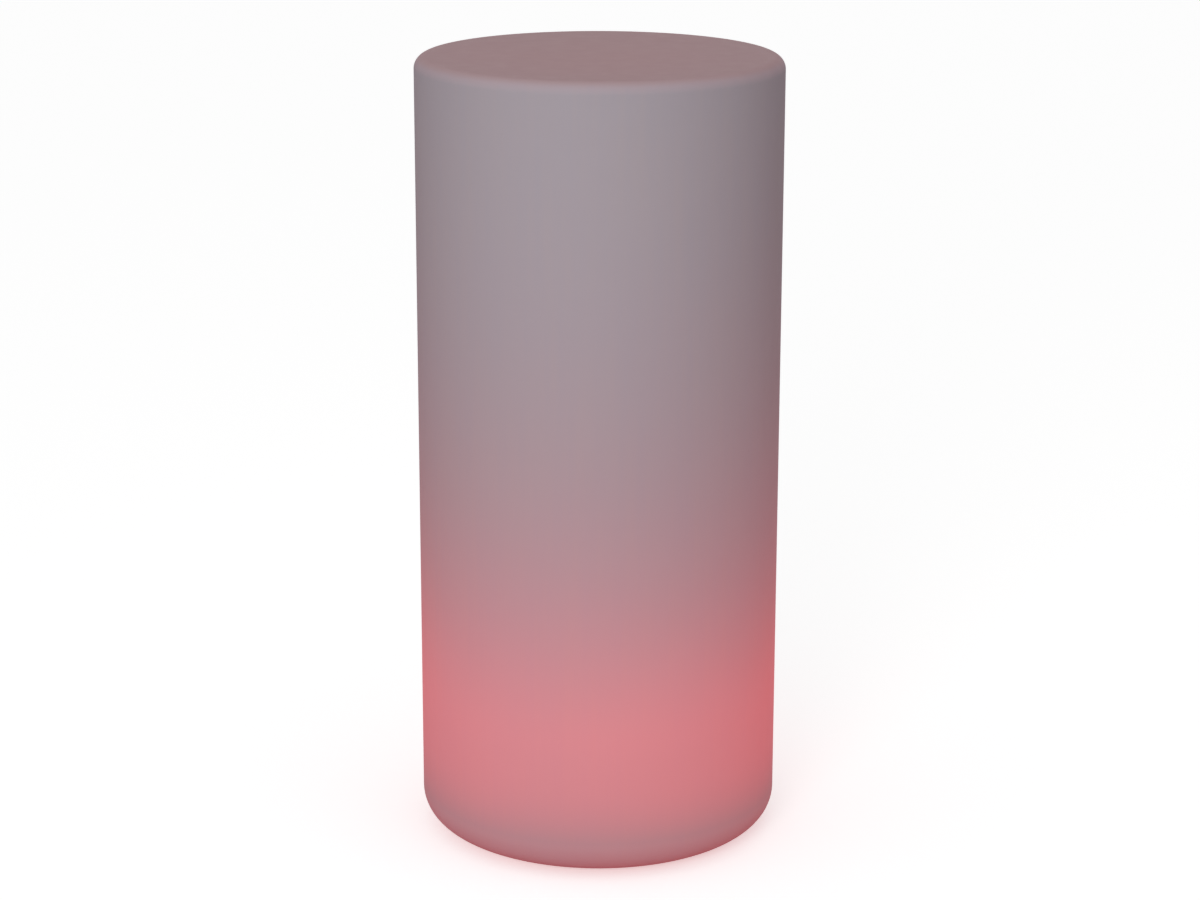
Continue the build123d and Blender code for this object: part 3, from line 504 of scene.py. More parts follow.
# The light unit's pot, with its ribbed screw flange, and the bottom cover that plugs it are injection moulded
# in black plastic. Their faces have the fine, even pits of a spark-eroded mould.

spark_black = finish("spark_eroded_plastic", (0.018, 0.018, 0.019), (0.032, 0.032, 0.034), (0.46, 0.60),
                     [(90, 0.0002), (1100, 0.00005), (2600, 0.00002)], scale=25, specular=0.42)


def dress(finish, *names):
    """CAD nodes in a finish of their own."""
    for name in names:
        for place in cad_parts[name].material_slots:
            place.material = finish


dress(spark_black, "unit_housing", "bottom_cover")


# Flat gaskets and sealing rings keep the rain out of the unit. They are cut or moulded from grey silicone,
# slightly glossy and translucent, and lie pressed between the parts they seal.

silicone = finish("grey_silicone", (0.34, 0.335, 0.32), (0.44, 0.43, 0.41), (0.36, 0.52), [(500, 0.00004)],
                  scale=50)
dress(silicone, "unit_gasket", "cover_ring", "dome_gasket", "power_button_ring", "colour_button_ring",
      "socket_seal", "flap_seal")


# Stainless socket-head screws hold the unit in the column, and its own parts together. Each has a rolled
# helical thread, a bevelled head and a hexagonal key socket. Washers lie under the six largest.

head_bevel_share = 0.25
key_share = 0.5
key_depth_share = 0.6
thread_depth_share = 0.55
rings_per_turn = 4
tip_share = 0.8
key_mouth_share = 1.06
key_point_share = 0.5
screw_sides = 24

brushed = finish("turned_stainless", (0.50, 0.50, 0.49), (0.66, 0.66, 0.65), (0.20, 0.38), [(900, 0.00001)],
                 scale=400, stretch=(1, 1, 5), metallic=1.0)


def lofted(name, rings, finish, sharp=30):
    """A closed form through rings of points that run anticlockwise, capped at its first and last ring."""
    count = len(rings[0])
    points = [point for ring in rings for point in ring]
    faces = [
        (i * count + j, i * count + (j + 1) % count, (i + 1) * count + (j + 1) % count, (i + 1) * count + j)
        for i in range(len(rings) - 1)
        for j in range(count)
    ]
    faces += [range(count - 1, -1, -1), range(len(points) - count, len(points))]
    mesh = bpy.data.meshes.new(name)
    mesh.from_pydata(points, [], faces)
    mesh.materials.append(finish)
    mesh.polygons.foreach_set("use_smooth", [True] * len(mesh.polygons))
    mesh.set_sharp_from_angle(angle=math.radians(sharp))
    return new_object(name, mesh)


def circle(radius, height, sides=screw_sides):
    """A level ring of points, anticlockwise."""
    return [(radius * math.cos(a), radius * math.sin(a), height)
            for a in (2 * math.pi * i / sides for i in range(sides))]


def hexagon(half_width, height):
    """As many points as the circle has, but round a hexagon with flat sides to +X."""
    corner = math.pi / 6
    spots = []
    for i in range(screw_sides):
        a = 2 * math.pi * i / screw_sides
        radius = half_width / math.cos((a + corner) % (2 * corner) - corner)
        spots.append((radius * math.cos(a), radius * math.sin(a), height))
    return spots


def socket_screw(thread, pitch, length, head, head_height):
    """A screw with its head up, whose bearing face is at zero."""
    crest = thread / 2
    root = crest - thread_depth_share * pitch
    bevel = head_bevel_share * head_height
    key = key_share * head / 2
    key_floor = head_height * (1 - key_depth_share)
    rings = [circle(root * tip_share, -length), circle(root, -length + pitch / 2)]
    for k in range(int((length - pitch) / pitch * rings_per_turn)):
        height = pitch / 2 + pitch * (k + 1) / rings_per_turn - length
        spots = []
        for i in range(screw_sides):
            phase = (k / rings_per_turn - i / screw_sides) % 1
            radius = root + (crest - root) * (1 - abs(2 * phase - 1))
            spots.append(circle(radius, height)[i])
        rings.append(spots)
    rings += [
        circle(crest, -pitch / 8), circle(crest, 0), circle(head / 2, 0),
        circle(head / 2, head_height - bevel),
        circle(head / 2 - 0.3 * bevel, head_height - 0.3 * bevel), circle(head / 2 - bevel, head_height),
        hexagon(key * key_mouth_share, head_height), hexagon(key, head_height - 0.1 * bevel),
        hexagon(key, key_floor), circle(key * key_point_share, key_floor - 0.2 * bevel),
    ]
    return lofted("screw", rings, brushed)


def large_screw():
    """An M4 screw, for the unit's flange."""
    return socket_screw(thread=0.004, pitch=0.0007, length=0.014, head=0.008, head_height=0.003)


def small_screw(length):
    """An M3 screw, for the unit's own parts."""
    return socket_screw(thread=0.003, pitch=0.0005, length=length, head=0.0056, head_height=0.0017)


turn_between_screws = 0.7


def fasten(node_name, screw, places, head_down):
    """A set of screws in place of the plain ones of a CAD node."""
    turns = [(math.pi if head_down else 0, 0, turn_between_screws * i) for i in range(len(places))]
    screws = repeated("threaded_" + node_name, screw, places, brushed, turns)
    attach(screws, "lamp")
    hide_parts(node_name)


led_board_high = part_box("led_board")[1]
board_low, board_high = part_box("control_board")
strap_low, strap_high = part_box("battery_strap")
dome_circle = 0.078
dome_flange_top = 0.0377
washer_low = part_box("unit_washers")[0].z
cover_circle = 0.0705
cover_bearing = 0.0077
led_screw_circle = led_board_high.x - 0.0056
led_screw_count = 4
long_screw = 0.008
short_screw = 0.005
standoffs = [(-0.048, -0.020), (0.048, -0.020), (-0.022, -0.047), (0.010, -0.051)]
strap_screw_x = 0.03765
strap_y = (strap_low.y + strap_high.y) / 2
strap_thickness = 0.0012
strap_foot_top = strap_low.z + strap_thickness

fasten("unit_screws", large_screw(), on_circle(insert_circle, screw_count, washer_low), True)
fasten("cover_screws", small_screw(long_screw), on_circle(cover_circle, screw_count, cover_bearing,
       math.pi / screw_count), True)
fasten("dome_screws", small_screw(long_screw), on_circle(dome_circle, screw_count, dome_flange_top), False)
fasten("led_screws", small_screw(short_screw),
       on_circle(led_screw_circle, led_screw_count, led_board_high.z), False)
fasten("board_screws", small_screw(short_screw), [(x, y, board_high.z) for x, y in standoffs], False)
fasten("strap_screws", small_screw(short_screw),
       [(x, strap_y, strap_foot_top) for x in (-strap_screw_x, strap_screw_x)], False)
dress(brushed, "unit_washers")


# Closed-ended inserts of turned brass are moulded into the column's seat. Their waists are knurled, and the
# plastic grips them there.

knurl_count = 40
knurl_root_share = 0.94

turned_brass, tree, shader = material("turned_brass")
tone = ranged(tree, grain(tree, 260.0, 3.0), 0, 1)
tree.links.new(mixed(tree, tone, (0.60, 0.44, 0.19, 1), (0.74, 0.57, 0.28, 1)), shader.inputs["Base Color"])
tree.links.new(ranged(tree, grain(tree, 500.0), 0.18, 0.34), shader.inputs["Roughness"])
shader.inputs["Metallic"].default_value = 1.0
bumped(tree, shader, [(grain(tree, 1500.0, 1.0, (1, 1, 8)), 0.00002)])
dress(turned_brass, "socket_pin")

insert_end = 0.001
insert_bore = 0.00205
insert_bevel = 0.0003
waist = insert_radius - 0.0005
waist_low = 0.4 * insert_length
waist_high = 0.6 * insert_length


def knurled(radius, height):
    """A ring of points that stand in and out by turns."""
    depths = (1.0, knurl_root_share)
    return [(radius * depths[i % 2] * math.cos(a), radius * depths[i % 2] * math.sin(a), height)
            for i, a in enumerate(math.pi * k / knurl_count for k in range(2 * knurl_count))]


def plain_ring(radius, height):
    """A smooth ring with as many points as a knurled one."""
    return circle(radius, height, 2 * knurl_count)


insert = lofted("insert", [
    plain_ring(insert_bore, insert_length - insert_end), plain_ring(insert_bore, insert_bevel),
    plain_ring(insert_bore + insert_bevel, 0), plain_ring(insert_radius - insert_bevel, 0),
    knurled(insert_radius, insert_bevel), knurled(insert_radius, waist_low - insert_bevel),
    plain_ring(waist, waist_low), plain_ring(waist, waist_high),
    knurled(insert_radius, waist_high + insert_bevel), knurled(insert_radius, insert_length - insert_bevel),
    plain_ring(insert_radius - insert_bevel, insert_length),
], turned_brass)
inserts = repeated("inserts", insert, on_circle(insert_circle, screw_count, seat_height), turned_brass)
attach(inserts, "lamp")
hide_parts("thread_inserts")


# Three round cells lie side by side in the cover's scalloped ribs. Each is a steel can in a blue shrunk
# sleeve, with a white insulating ring round its raised steel terminal. The terminals point to the front.

cell_radius = 0.00925
cell_half = 0.0325
groove_drop = 0.0028
groove_depth = 0.0005
shoulder = 0.0009
ring_reach = 0.0068
terminal_radius = 0.0035
terminal_rise = 0.001
terminal_edge = 0.0004
back_recess = 0.0003
front_floor = cell_half - 0.0002
card_back = cell_half - 0.0003
card_face = cell_half - 0.00005
card_lap = 0.0002
sleeve_lip = 0.0006
sleeve_edge = 0.0001
groove_flank = 0.0006
groove_edge = 0.0003
sleeve_sides = 64
ring_sides = 48
turn_between_cells = 0.4

cells_low, cells_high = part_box("battery_cells")
cell_axis = (cells_low.z + cells_high.z) / 2
cell_middle = cells_low.y + terminal_rise + cell_half
cell_pitch = (cells_high.x - cells_low.x - 2 * cell_radius) / 2
cell_places = [(x, cell_middle, cell_axis) for x in (-cell_pitch, 0, cell_pitch)]
to_the_front = [(math.pi / 2, turn_between_cells * i, 0) for i in range(len(cell_places))]

sleeve_blue = finish("shrunk_sleeve", (0.010, 0.075, 0.26), (0.016, 0.105, 0.32), (0.22, 0.34),
                     [(420, 0.00003)], scale=50)
insulator_white = finish("insulating_card", (0.70, 0.69, 0.66), (0.78, 0.77, 0.74), (0.6, 0.75),
                         [(900, 0.00002)], scale=80)
can_steel = finish("plated_steel_can", (0.52, 0.52, 0.51), (0.64, 0.64, 0.63), (0.16, 0.30), [(900, 0.00001)],
                   scale=300, metallic=1.0)

sleeve = turned("sleeve", [
    (0, -cell_half + back_recess, 0), (cell_radius - 2 * shoulder, -cell_half + back_recess, 0),
    (cell_radius - 2 * shoulder, -cell_half, sleeve_edge), (cell_radius, -cell_half, shoulder),
    (cell_radius, cell_half - groove_drop - groove_flank, groove_edge),
    (cell_radius - groove_depth, cell_half - groove_drop, groove_edge),
    (cell_radius, cell_half - groove_drop + groove_flank, groove_edge), (cell_radius, cell_half, shoulder),
    (ring_reach + sleeve_lip, cell_half, sleeve_edge), (ring_reach, front_floor, 0), (0, front_floor, 0),
], sleeve_blue, sleeve_sides)
insulator = turned("insulator", [
    (terminal_radius - card_lap, card_back, 0), (ring_reach, card_back, 0),
    (ring_reach, card_face, sleeve_edge), (terminal_radius - card_lap, card_face, 0),
], insulator_white, ring_sides)
terminal = turned("terminal", [
    (0, card_back, 0), (terminal_radius, card_back, 0),
    (terminal_radius, cell_half + terminal_rise, terminal_edge), (0, cell_half + terminal_rise, 0),
], can_steel, ring_sides)
for name, part, skin in (
    ("cell_sleeves", sleeve, sleeve_blue),
    ("cell_insulators", insulator, insulator_white),
    ("cell_terminals", terminal, can_steel),
):
    cells = repeated(name, part, cell_places, skin, to_the_front)
    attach(cells, "lamp")
    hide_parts("battery_cells")


# Nickel strips are welded across the cells' ends, and the pack's small protection board stands against the
# front one. A foam strip and a zinc-plated steel strap, screwed down at both feet, hold the pack.

nickel = finish("nickel_strip", (0.52, 0.50, 0.45), (0.66, 0.64, 0.59), (0.24, 0.40), [(700, 0.00001)],
                scale=200, stretch=(1, 6, 6), metallic=1.0)
zinc = finish("zinc_plate", (0.50, 0.51, 0.53), (0.66, 0.67, 0.69), (0.26, 0.46), [(240, 0.00003)], scale=120,
              metallic=1.0)
foam = finish("closed_cell_foam", (0.030, 0.030, 0.032), (0.055, 0.055, 0.058), (0.85, 0.95),
              [(1300, 0.00012)], scale=300)
dress(nickel, "battery_tabs")
dress(zinc, "battery_strap")
dress(foam, "battery_pad")

weld_radius = 0.0007
weld_crown = 0.6 * weld_radius
weld_rise = 0.00012
weld_edge = 0.00005
weld_offset = 0.0014
weld_sides = 12
tabs_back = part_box("battery_tabs")[1].y
weld = turned("weld", [(0, 0, 0), (weld_radius, 0, 0), (weld_crown, weld_rise, weld_edge), (0, weld_rise, 0)],
              nickel, weld_sides)
weld_places = [(x + side * weld_offset, tabs_back, cell_axis + up * weld_offset)
               for x, _, _ in cell_places for side in (-1, 1) for up in (-1, 1)]
welds = repeated("tab_welds", weld, weld_places, nickel, [(-math.pi / 2, 0, 0)] * len(weld_places))
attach(welds, "lamp")


# The leads are stranded copper in PVC insulation: red and black from the battery, red from the charging
# socket, white to the LEDs. The insulation is extruded, slightly glossy and faintly uneven.

extruded = {"roughness": (0.30, 0.42), "relief": [(260, 0.00003)]}
red_cover = finish("red_insulation", (0.42, 0.012, 0.012), (0.52, 0.020, 0.018), **extruded)
black_cover = finish("black_insulation", (0.016, 0.016, 0.017), (0.026, 0.026, 0.027), **extruded)
white_cover = finish("white_insulation", (0.62, 0.62, 0.60), (0.72, 0.72, 0.70), **extruded)
dress(red_cover, "battery_lead", "socket_lead")
dress(black_cover, "battery_return_wire")
dress(white_cover, "led_lead")


# The control board and the pack's protection board are glass-fibre laminate under green solder mask. Copper
# tracks show through the mask as lighter lines, with tinned pads and vias between them.

track_pitch = 0.00127
track_share = 0.30
patch_size = 150.0
pad_pitch = 0.00254
pad_share = 0.24
pad_metal = 0.9
patches_each_way = 0.4
mask_wear = 0.25
mask_green = (0.008, 0.075, 0.028)
copper_under_green = (0.020, 0.135, 0.055)
pad_tin = (0.62, 0.60, 0.56)


def stripes(tree, along, pitch, share):
    """One where a coordinate lies in a stripe, and nothing between the stripes."""
    step = maths(tree, "FRACT", maths(tree, "DIVIDE", along, pitch))
    return maths(tree, "LESS_THAN", maths(tree, "ABSOLUTE", maths(tree, "SUBTRACT", step, 0.5)), share / 2)


def circuit(name, mask, copper, pad, axes=("X", "Y"), roughness=(0.28, 0.42), rise=0.00003, bare_share=0.45):
    """Solder mask with tracks running one way or the other in patches, and rows of tinned pads, which a share
    of the patches go without."""
    made, tree, shader = material(name)
    place = node(tree, "ShaderNodeTexCoord").outputs["Object"]
    split = node(tree, "ShaderNodeSeparateXYZ", {0: place}).outputs
    across, along = (split[axis] for axis in axes)
    patches = node(tree, "ShaderNodeTexVoronoi", {"Vector": place, "Scale": patch_size}, distance="CHEBYCHEV")
    chance = node(tree, "ShaderNodeSeparateColor", {0: patches.outputs["Color"]}).outputs["Red"]
    run_across = maths(tree, "MULTIPLY", stripes(tree, across, track_pitch, track_share),
                       maths(tree, "LESS_THAN", chance, patches_each_way))
    run_along = maths(tree, "MULTIPLY", stripes(tree, along, track_pitch, track_share),
                      maths(tree, "GREATER_THAN", chance, 1 - patches_each_way))
    tracks = maths(tree, "MAXIMUM", run_across, run_along)
    rows = maths(tree, "MULTIPLY", stripes(tree, across, pad_pitch, pad_share),
                 stripes(tree, along, pad_pitch, pad_share))
    pads = maths(tree, "MULTIPLY", rows, maths(tree, "GREATER_THAN", chance, bare_share))
    laid = mixed(tree, tracks, (*mask, 1), (*copper, 1))
    worn = mixed(tree, ranged(tree, grain(tree, 90.0, 3.0), 0, mask_wear), laid, (*mask, 1))
    tree.links.new(mixed(tree, pads, worn, (*pad, 1)), shader.inputs["Base Color"])
    tree.links.new(maths(tree, "MULTIPLY", pads, pad_metal), shader.inputs["Metallic"])
    tree.links.new(ranged(tree, grain(tree, 300.0), *roughness), shader.inputs["Roughness"])
    bumped(tree, shader, [(tracks, rise), (pads, rise)])
    return made


green_mask = circuit("green_board", mask_green, copper_under_green, pad_tin)
dress(green_mask, "control_board")
standing_mask = circuit("standing_green_board", mask_green, copper_under_green, pad_tin, ("X", "Z"))
dress(standing_mask, "battery_board")


# The control board carries two driver chips, three power transistors, two filter capacitors and an inductor.
# They are black moulded epoxy with tinned copper legs, drawn aluminium cans, and a ferrite core.

board_top = board_high.z
chip_places = [(-0.008, -0.021), (-0.026, -0.037)]
chip_body = (0.010, 0.0056)
chip_span = 0.008
chip_height = 0.0017
leg_pitch = 0.00127
legs_a_side = 7
leg_width = 0.0004
leg_thickness = 0.0002
leg_seat = 0.0001
leg_foot = 0.0006
leg_bend = 0.0007
leg_exit = 0.0009
leg_root = 0.0004
mould_draft = 0.0003
mould_edge = 0.0001
crown_draft = 2.6 * mould_draft
body_lift = 0.0001
transistor_places = [(-0.014, -0.046), (-0.005, -0.046), (0.004, -0.046)]
transistor_body = (0.0065, 0.0040)
transistor_height = 0.0023
transistor_set_back = 0.0003
tab_size = (0.0054, 0.0009)
tab_thickness = 0.0005
tab_set_back = 0.0026
pin_spread = 0.0023
pin_width = 0.0006
pin_thickness = 0.0003

epoxy = finish("moulded_epoxy", (0.016, 0.016, 0.017), (0.027, 0.027, 0.028), (0.42, 0.56), [(1500, 0.00002)],
               scale=120)
tinned = finish("tinned_copper", (0.56, 0.56, 0.55), (0.68, 0.68, 0.67), (0.24, 0.40), [(1200, 0.00001)],
                scale=500, metallic=1.0)
ferrite = finish("ferrite", (0.040, 0.040, 0.042), (0.070, 0.070, 0.072), (0.50, 0.68), [(1400, 0.00004)],
                 scale=300)
drawn_aluminium = finish("drawn_aluminium", (0.60, 0.61, 0.63), (0.72, 0.73, 0.75), (0.18, 0.32),
                         [(800, 0.00001)], scale=200, stretch=(4, 4, 1), metallic=1.0)


def slab(width, depth, height, middle=(0, 0)):
    """The four corners of a rectangle at a height, anticlockwise."""
    x, y = middle
    return [(x - width / 2, y - depth / 2, height), (x + width / 2, y - depth / 2, height),
            (x + width / 2, y + depth / 2, height), (x - width / 2, y + depth / 2, height)]


def bent_strip(name, line, width, thickness, finish):
    """A flat strip that follows a line in the YZ plane, given from its outer end inwards."""
    rings = []
    for i, (y, z) in enumerate(line):
        before, after = line[max(i - 1, 0)], line[min(i + 1, len(line) - 1)]
        run = Vector((after[0] - before[0], after[1] - before[1])).normalized() * thickness / 2
        up, down = (y - run.y, z + run.x), (y + run.y, z - run.x)
        rings.append([(-width / 2, *down), (-width / 2, *up), (width / 2, *up), (width / 2, *down)])
    return lofted(name, rings, finish)


def body_of_chip(name, width, depth, height):
    """A moulded package, drafted both ways from its parting line and lifted a little off the board."""
    draft = 2 * mould_draft
    return lofted(name, [
        slab(width - draft, depth - draft, body_lift), slab(width, depth, (height + body_lift) / 2),
        slab(width - draft, depth - draft, height - mould_edge),
        slab(width - crown_draft, depth - crown_draft, height),
    ], epoxy)


chip = body_of_chip("chip", *chip_body, chip_height)
chips = repeated("driver_chips", chip, [(x, y, board_top) for x, y in chip_places], epoxy)
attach(chips, "lamp")
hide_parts("control_chips")

half_span = chip_span / 2
body_edge = chip_body[1] / 2
knee = body_edge + 0.0004
leg_line = [(-half_span, leg_seat), (-half_span + leg_foot, leg_seat), (-knee - 0.0001, leg_bend),
            (-knee + 0.0002, leg_exit), (-body_edge + leg_root, leg_exit)]
leg = bent_strip("leg", leg_line, leg_width, leg_thickness, tinned)
leg_places, leg_turns = [], []
for x, y in chip_places:
    for side in (0, 1):
        for i in range(legs_a_side):
            leg_places.append((x + (i - (legs_a_side - 1) / 2) * leg_pitch, y, board_top))
            leg_turns.append((0, 0, math.pi * side))
legs = repeated("chip_legs", leg, leg_places, tinned, leg_turns)
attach(legs, "lamp")

power_body = body_of_chip("power_body", *transistor_body, transistor_height)
switches = repeated("power_transistors", power_body,
                    [(x, y + transistor_set_back, board_top) for x, y in transistor_places], epoxy)
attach(switches, "lamp")
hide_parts("transistors")
tab = lofted("tab", [slab(*tab_size, 0), slab(*tab_size, tab_thickness)], tinned)
tabs = repeated("transistor_tabs", tab,
                [(x, y + tab_set_back, board_top) for x, y in transistor_places], tinned)
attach(tabs, "lamp")
pin_line = [(-0.0030, 0.0001), (-0.0024, 0.0001), (-0.0020, 0.0009), (-0.0012, 0.0010)]
pin = bent_strip("pin", pin_line, pin_width, pin_thickness, tinned)
pins = repeated("transistor_legs", pin, [(x + dx, y, board_top) for x, y in transistor_places
                for dx in (-pin_spread, 0, pin_spread)], tinned)
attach(pins, "lamp")

can_radius = 0.004
can_height = 0.0085
can_wall = can_radius - 0.0001
can_waist = can_radius - 0.0005
can_foot = 0.0012
can_beads = (0.0020, 0.0024, 0.0028)
can_bead_edge = 0.0002
can_crown = 0.0006
base_width = 0.0080
base_bevel = 0.0002
base_wall_top = 0.0009
capacitor_places = [(0.014, -0.024, board_top), (0.014, -0.034, board_top)]
can = turned("can", [
    (0, can_foot, 0), (can_wall, can_foot, mould_edge), (can_wall, can_beads[0], can_bead_edge),
    (can_waist, can_beads[1], can_bead_edge), (can_wall, can_beads[2], can_bead_edge),
    (can_wall, can_height, can_crown), (0, can_height, 0),
], drawn_aluminium, ring_sides)
cans = repeated("capacitor_cans", can, capacitor_places, drawn_aluminium)
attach(cans, "lamp")
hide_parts("capacitors")
base_top_width = base_width - 2 * base_bevel
can_base = lofted("capacitor_base", [
    slab(base_width, base_width, 0), slab(base_width, base_width, base_wall_top),
    slab(base_top_width, base_top_width, can_foot),
], epoxy)
bases = repeated("capacitor_bases", can_base, capacitor_places, epoxy)
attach(bases, "lamp")

dress(ferrite, "inductor")


# Small resistors and capacitors stand in rows on the control board, each a ceramic block with tinned ends.

small_size = (0.0020, 0.00125)
small_height = 0.0006
body_length = 0.6 * small_size[0]
end_length = 0.2 * small_size[0]
end_offset = 0.4 * small_size[0]
end_width = 1.02 * small_size[1]
end_height = 1.03 * small_height
row_places = [(-0.018, -0.030), (-0.015, -0.030), (-0.012, -0.030), (-0.018, -0.0335), (-0.015, -0.0335),
              (0.006, -0.040), (0.006, -0.037), (0.009, -0.040), (-0.036, -0.040), (-0.036, -0.043),
              (0.034, -0.045), (0.037, -0.043), (0.020, -0.046), (0.020, -0.049), (-0.042, -0.033)]
ceramic = finish("dark_ceramic", (0.05, 0.045, 0.04), (0.10, 0.085, 0.07), (0.5, 0.65), [(1500, 0.00002)])
block = lofted("small_block", [slab(body_length, small_size[1], 0),
               slab(body_length, small_size[1], small_height)], ceramic)
end = lofted("small_end", [slab(end_length, end_width, 0), slab(end_length, end_width, end_height)], tinned)
small_blocks = repeated("small_resistors", block, [(x, y, board_top) for x, y in row_places], ceramic)
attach(small_blocks, "lamp")
small_ends = repeated("resistor_ends", end, [(x + side * end_offset, y, board_top)
                      for x, y in row_places for side in (-1, 1)], tinned)
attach(small_ends, "lamp")


# The leads plug into nylon connectors, moulded with a latch and open round the tinned contacts that hold
# the wires. Two of them stand on the control board beside the battery and the socket, one under the LED lead
# and one on the LED board.

nylon = finish("natural_nylon", (0.62, 0.58, 0.47), (0.70, 0.66, 0.55), (0.34, 0.48), [(420, 0.00004)],
               scale=60)
side_plug = (0.008, 0.010, 0.007)
lead_plug = (0.010, 0.006, 0.006)
led_plug = (0.010, 0.006, 0.005)
battery_plug_place = (-0.020, -0.022, board_top)
socket_plug_place = (0.040, -0.022, board_top)
lead_plug_place = (0, -0.030, board_top)
led_plug_place = (0, -0.018, led_board_high.z)
latch_step = 0.0006
waist_shares = (0.30, 0.36, 0.60, 0.66)


def plug_housing(name, size):
    """A shrouded connector body: a foot, waisted walls and a bevelled rim."""
    width, depth, height = size
    full, narrow = (width, depth), (width - latch_step, depth - latch_step)
    waist_in, waist_base, waist_top, waist_out = (share * height for share in waist_shares)
    return lofted(name, [
        slab(*narrow, 0), slab(*full, latch_step / 2), slab(*full, waist_in), slab(*narrow, waist_base),
        slab(*narrow, waist_top), slab(*full, waist_out), slab(*full, height - latch_step / 2),
        slab(*narrow, height),
    ], nylon)


side_plug_places = [battery_plug_place, socket_plug_place]
plugs = repeated("side_plugs", plug_housing("plug", side_plug), side_plug_places, nylon)
lead_plugs = repeated("lead_plug", plug_housing("plug", lead_plug), [lead_plug_place], nylon)
for piece in (plugs, lead_plugs):
    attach(piece, "lamp")
    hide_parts("board_connectors")
led_plugs = repeated("led_plug", plug_housing("plug", led_plug), [led_plug_place], nylon)
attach(led_plugs, "lamp")
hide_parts("led_connector")


# Under the board, over each button, sits a small switch: a black moulded base under a pressed steel plate
# with four riveted corners, and a round plunger that points down to the button's post.

button_places = [(-0.026, -0.034), (-0.004, -0.034)]
board_under = board_low.z
switch_size = 0.006
switch_height = 0.0034
plunger_radius = 0.0017
plunger_height = 0.0009
plate_thickness = 0.0003
plate_inset = 0.0002
plate_crown = 0.0005
plate_edge = 0.0001
base_draft = 0.0004
base_edge = 0.0002
plunger_sink = 0.0002
plunger_edge = 0.0002
plunger_sides = 32
rivet_offset = 0.0022
rivet_radius = 0.0004
rivet_crown = 0.0003
rivet_half = 0.0001
rivet_edge = 0.00005
rivet_sides = 12

turned_over = [(math.pi, 0, 0)] * len(button_places)
under_places = [(x, y, board_under) for x, y in button_places]
plate_under = switch_height - plate_thickness
base_top = switch_size - base_draft
base = lofted("base", [
    slab(switch_size, switch_size, 0), slab(switch_size, switch_size, plate_under - base_edge),
    slab(base_top, base_top, plate_under),
], epoxy)
bases = repeated("switch_bases", base, under_places, epoxy, turned_over)
plate_width, crown_width = switch_size - plate_inset, switch_size - plate_crown
plate = lofted("plate", [
    slab(plate_width, plate_width, plate_under), slab(plate_width, plate_width, switch_height - plate_edge),
    slab(crown_width, crown_width, switch_height),
], zinc)
plates = repeated("switch_plates", plate, under_places, zinc, turned_over)
plunger = turned("plunger", [
    (0, switch_height - plunger_sink, 0), (plunger_radius, switch_height - plunger_sink, 0),
    (plunger_radius, switch_height + plunger_height, plunger_edge), (0, switch_height + plunger_height, 0),
], epoxy, plunger_sides)
plungers = repeated("switch_plungers", plunger, under_places, epoxy, turned_over)
rivet = turned("rivet", [
    (0, switch_height - rivet_half, 0), (rivet_radius, switch_height - rivet_half, 0),
    (rivet_crown, switch_height + rivet_half, rivet_edge), (0, switch_height + rivet_half, 0),
], epoxy, rivet_sides)
rivet_places = [(x + across * rivet_offset, y + along * rivet_offset, board_under)
                for x, y in button_places for across in (-1, 1) for along in (-1, 1)]
rivets = repeated("switch_rivets", rivet, rivet_places, epoxy, [(math.pi, 0, 0)] * len(rivet_places))
for piece in (bases, plates, plungers, rivets):
    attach(piece, "lamp")
    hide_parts("tact_switches")


# A white chip LED under the board shows that the battery is charging. A clear moulded rod, polished at both
# ends, brings its light down to the outside of the cover.

clear, tree, shader = material("clear_polycarbonate")
clear_tint = mixed(tree, ranged(tree, grain(tree, 12.0), 0, 1), (0.93, 0.95, 0.96, 1), (0.97, 0.98, 0.99, 1))
tree.links.new(clear_tint, shader.inputs["Base Color"])
tree.links.new(ranged(tree, grain(tree, 45.0, 3.0), 0.02, 0.07), shader.inputs["Roughness"])
shader.inputs["IOR"].default_value = 1.58
shader.inputs["Transmission Weight"].default_value = 1.0
bumped(tree, shader, [(grain(tree, 22.0), 0.00008)])
chip_white = finish("white_package", (0.74, 0.73, 0.70), (0.82, 0.81, 0.78), (0.34, 0.46), [(1200, 0.00001)],
                    scale=200)
dress(clear, "light_pipe", "clear_dome")
dress(chip_white, "indicator_led")


# The two push buttons are moulded in grey plastic with a satin, dished face. A raised sign on each, moulded
# in a paler plastic, tells them apart by eye and touch: a ring and bar for power, three dots for the colour.

button_grey = finish("satin_grey_plastic", (0.15, 0.155, 0.16), (0.20, 0.205, 0.21), (0.36, 0.48),
                     [(1300, 0.00003)], scale=80)
sign_pale = finish("pale_sign_plastic", (0.66, 0.66, 0.65), (0.74, 0.74, 0.73), (0.38, 0.50),
                   [(1300, 0.00002)], scale=80)
dress(button_grey, "power_button", "colour_button")

sign_face = 0.00555
sign_back = 0.00590
sign_radius = 0.0024
sign_stroke = 0.0006
sign_gap = math.radians(38)
sign_edge = 0.00005
sign_taper = 0.98
bar_from = 0.0004
bar_to = 0.0029
dot_radius = 0.0008
dot_circle = 0.0019
dot_edge = 0.0001
dot_sides = 32


def prism(name, outline, low, high, finish):
    """An upright bar over an outline that runs anticlockwise, with a slightly rounded lower edge."""
    middle = sum((Vector(point) for point in outline), Vector((0, 0))) / len(outline)
    inner = [middle + (Vector(point) - middle) * sign_taper for point in outline]
    return lofted(name, [[(*point, low) for point in inner], [(*point, low + sign_edge) for point in outline],
                         [(*point, high) for point in outline]], finish)


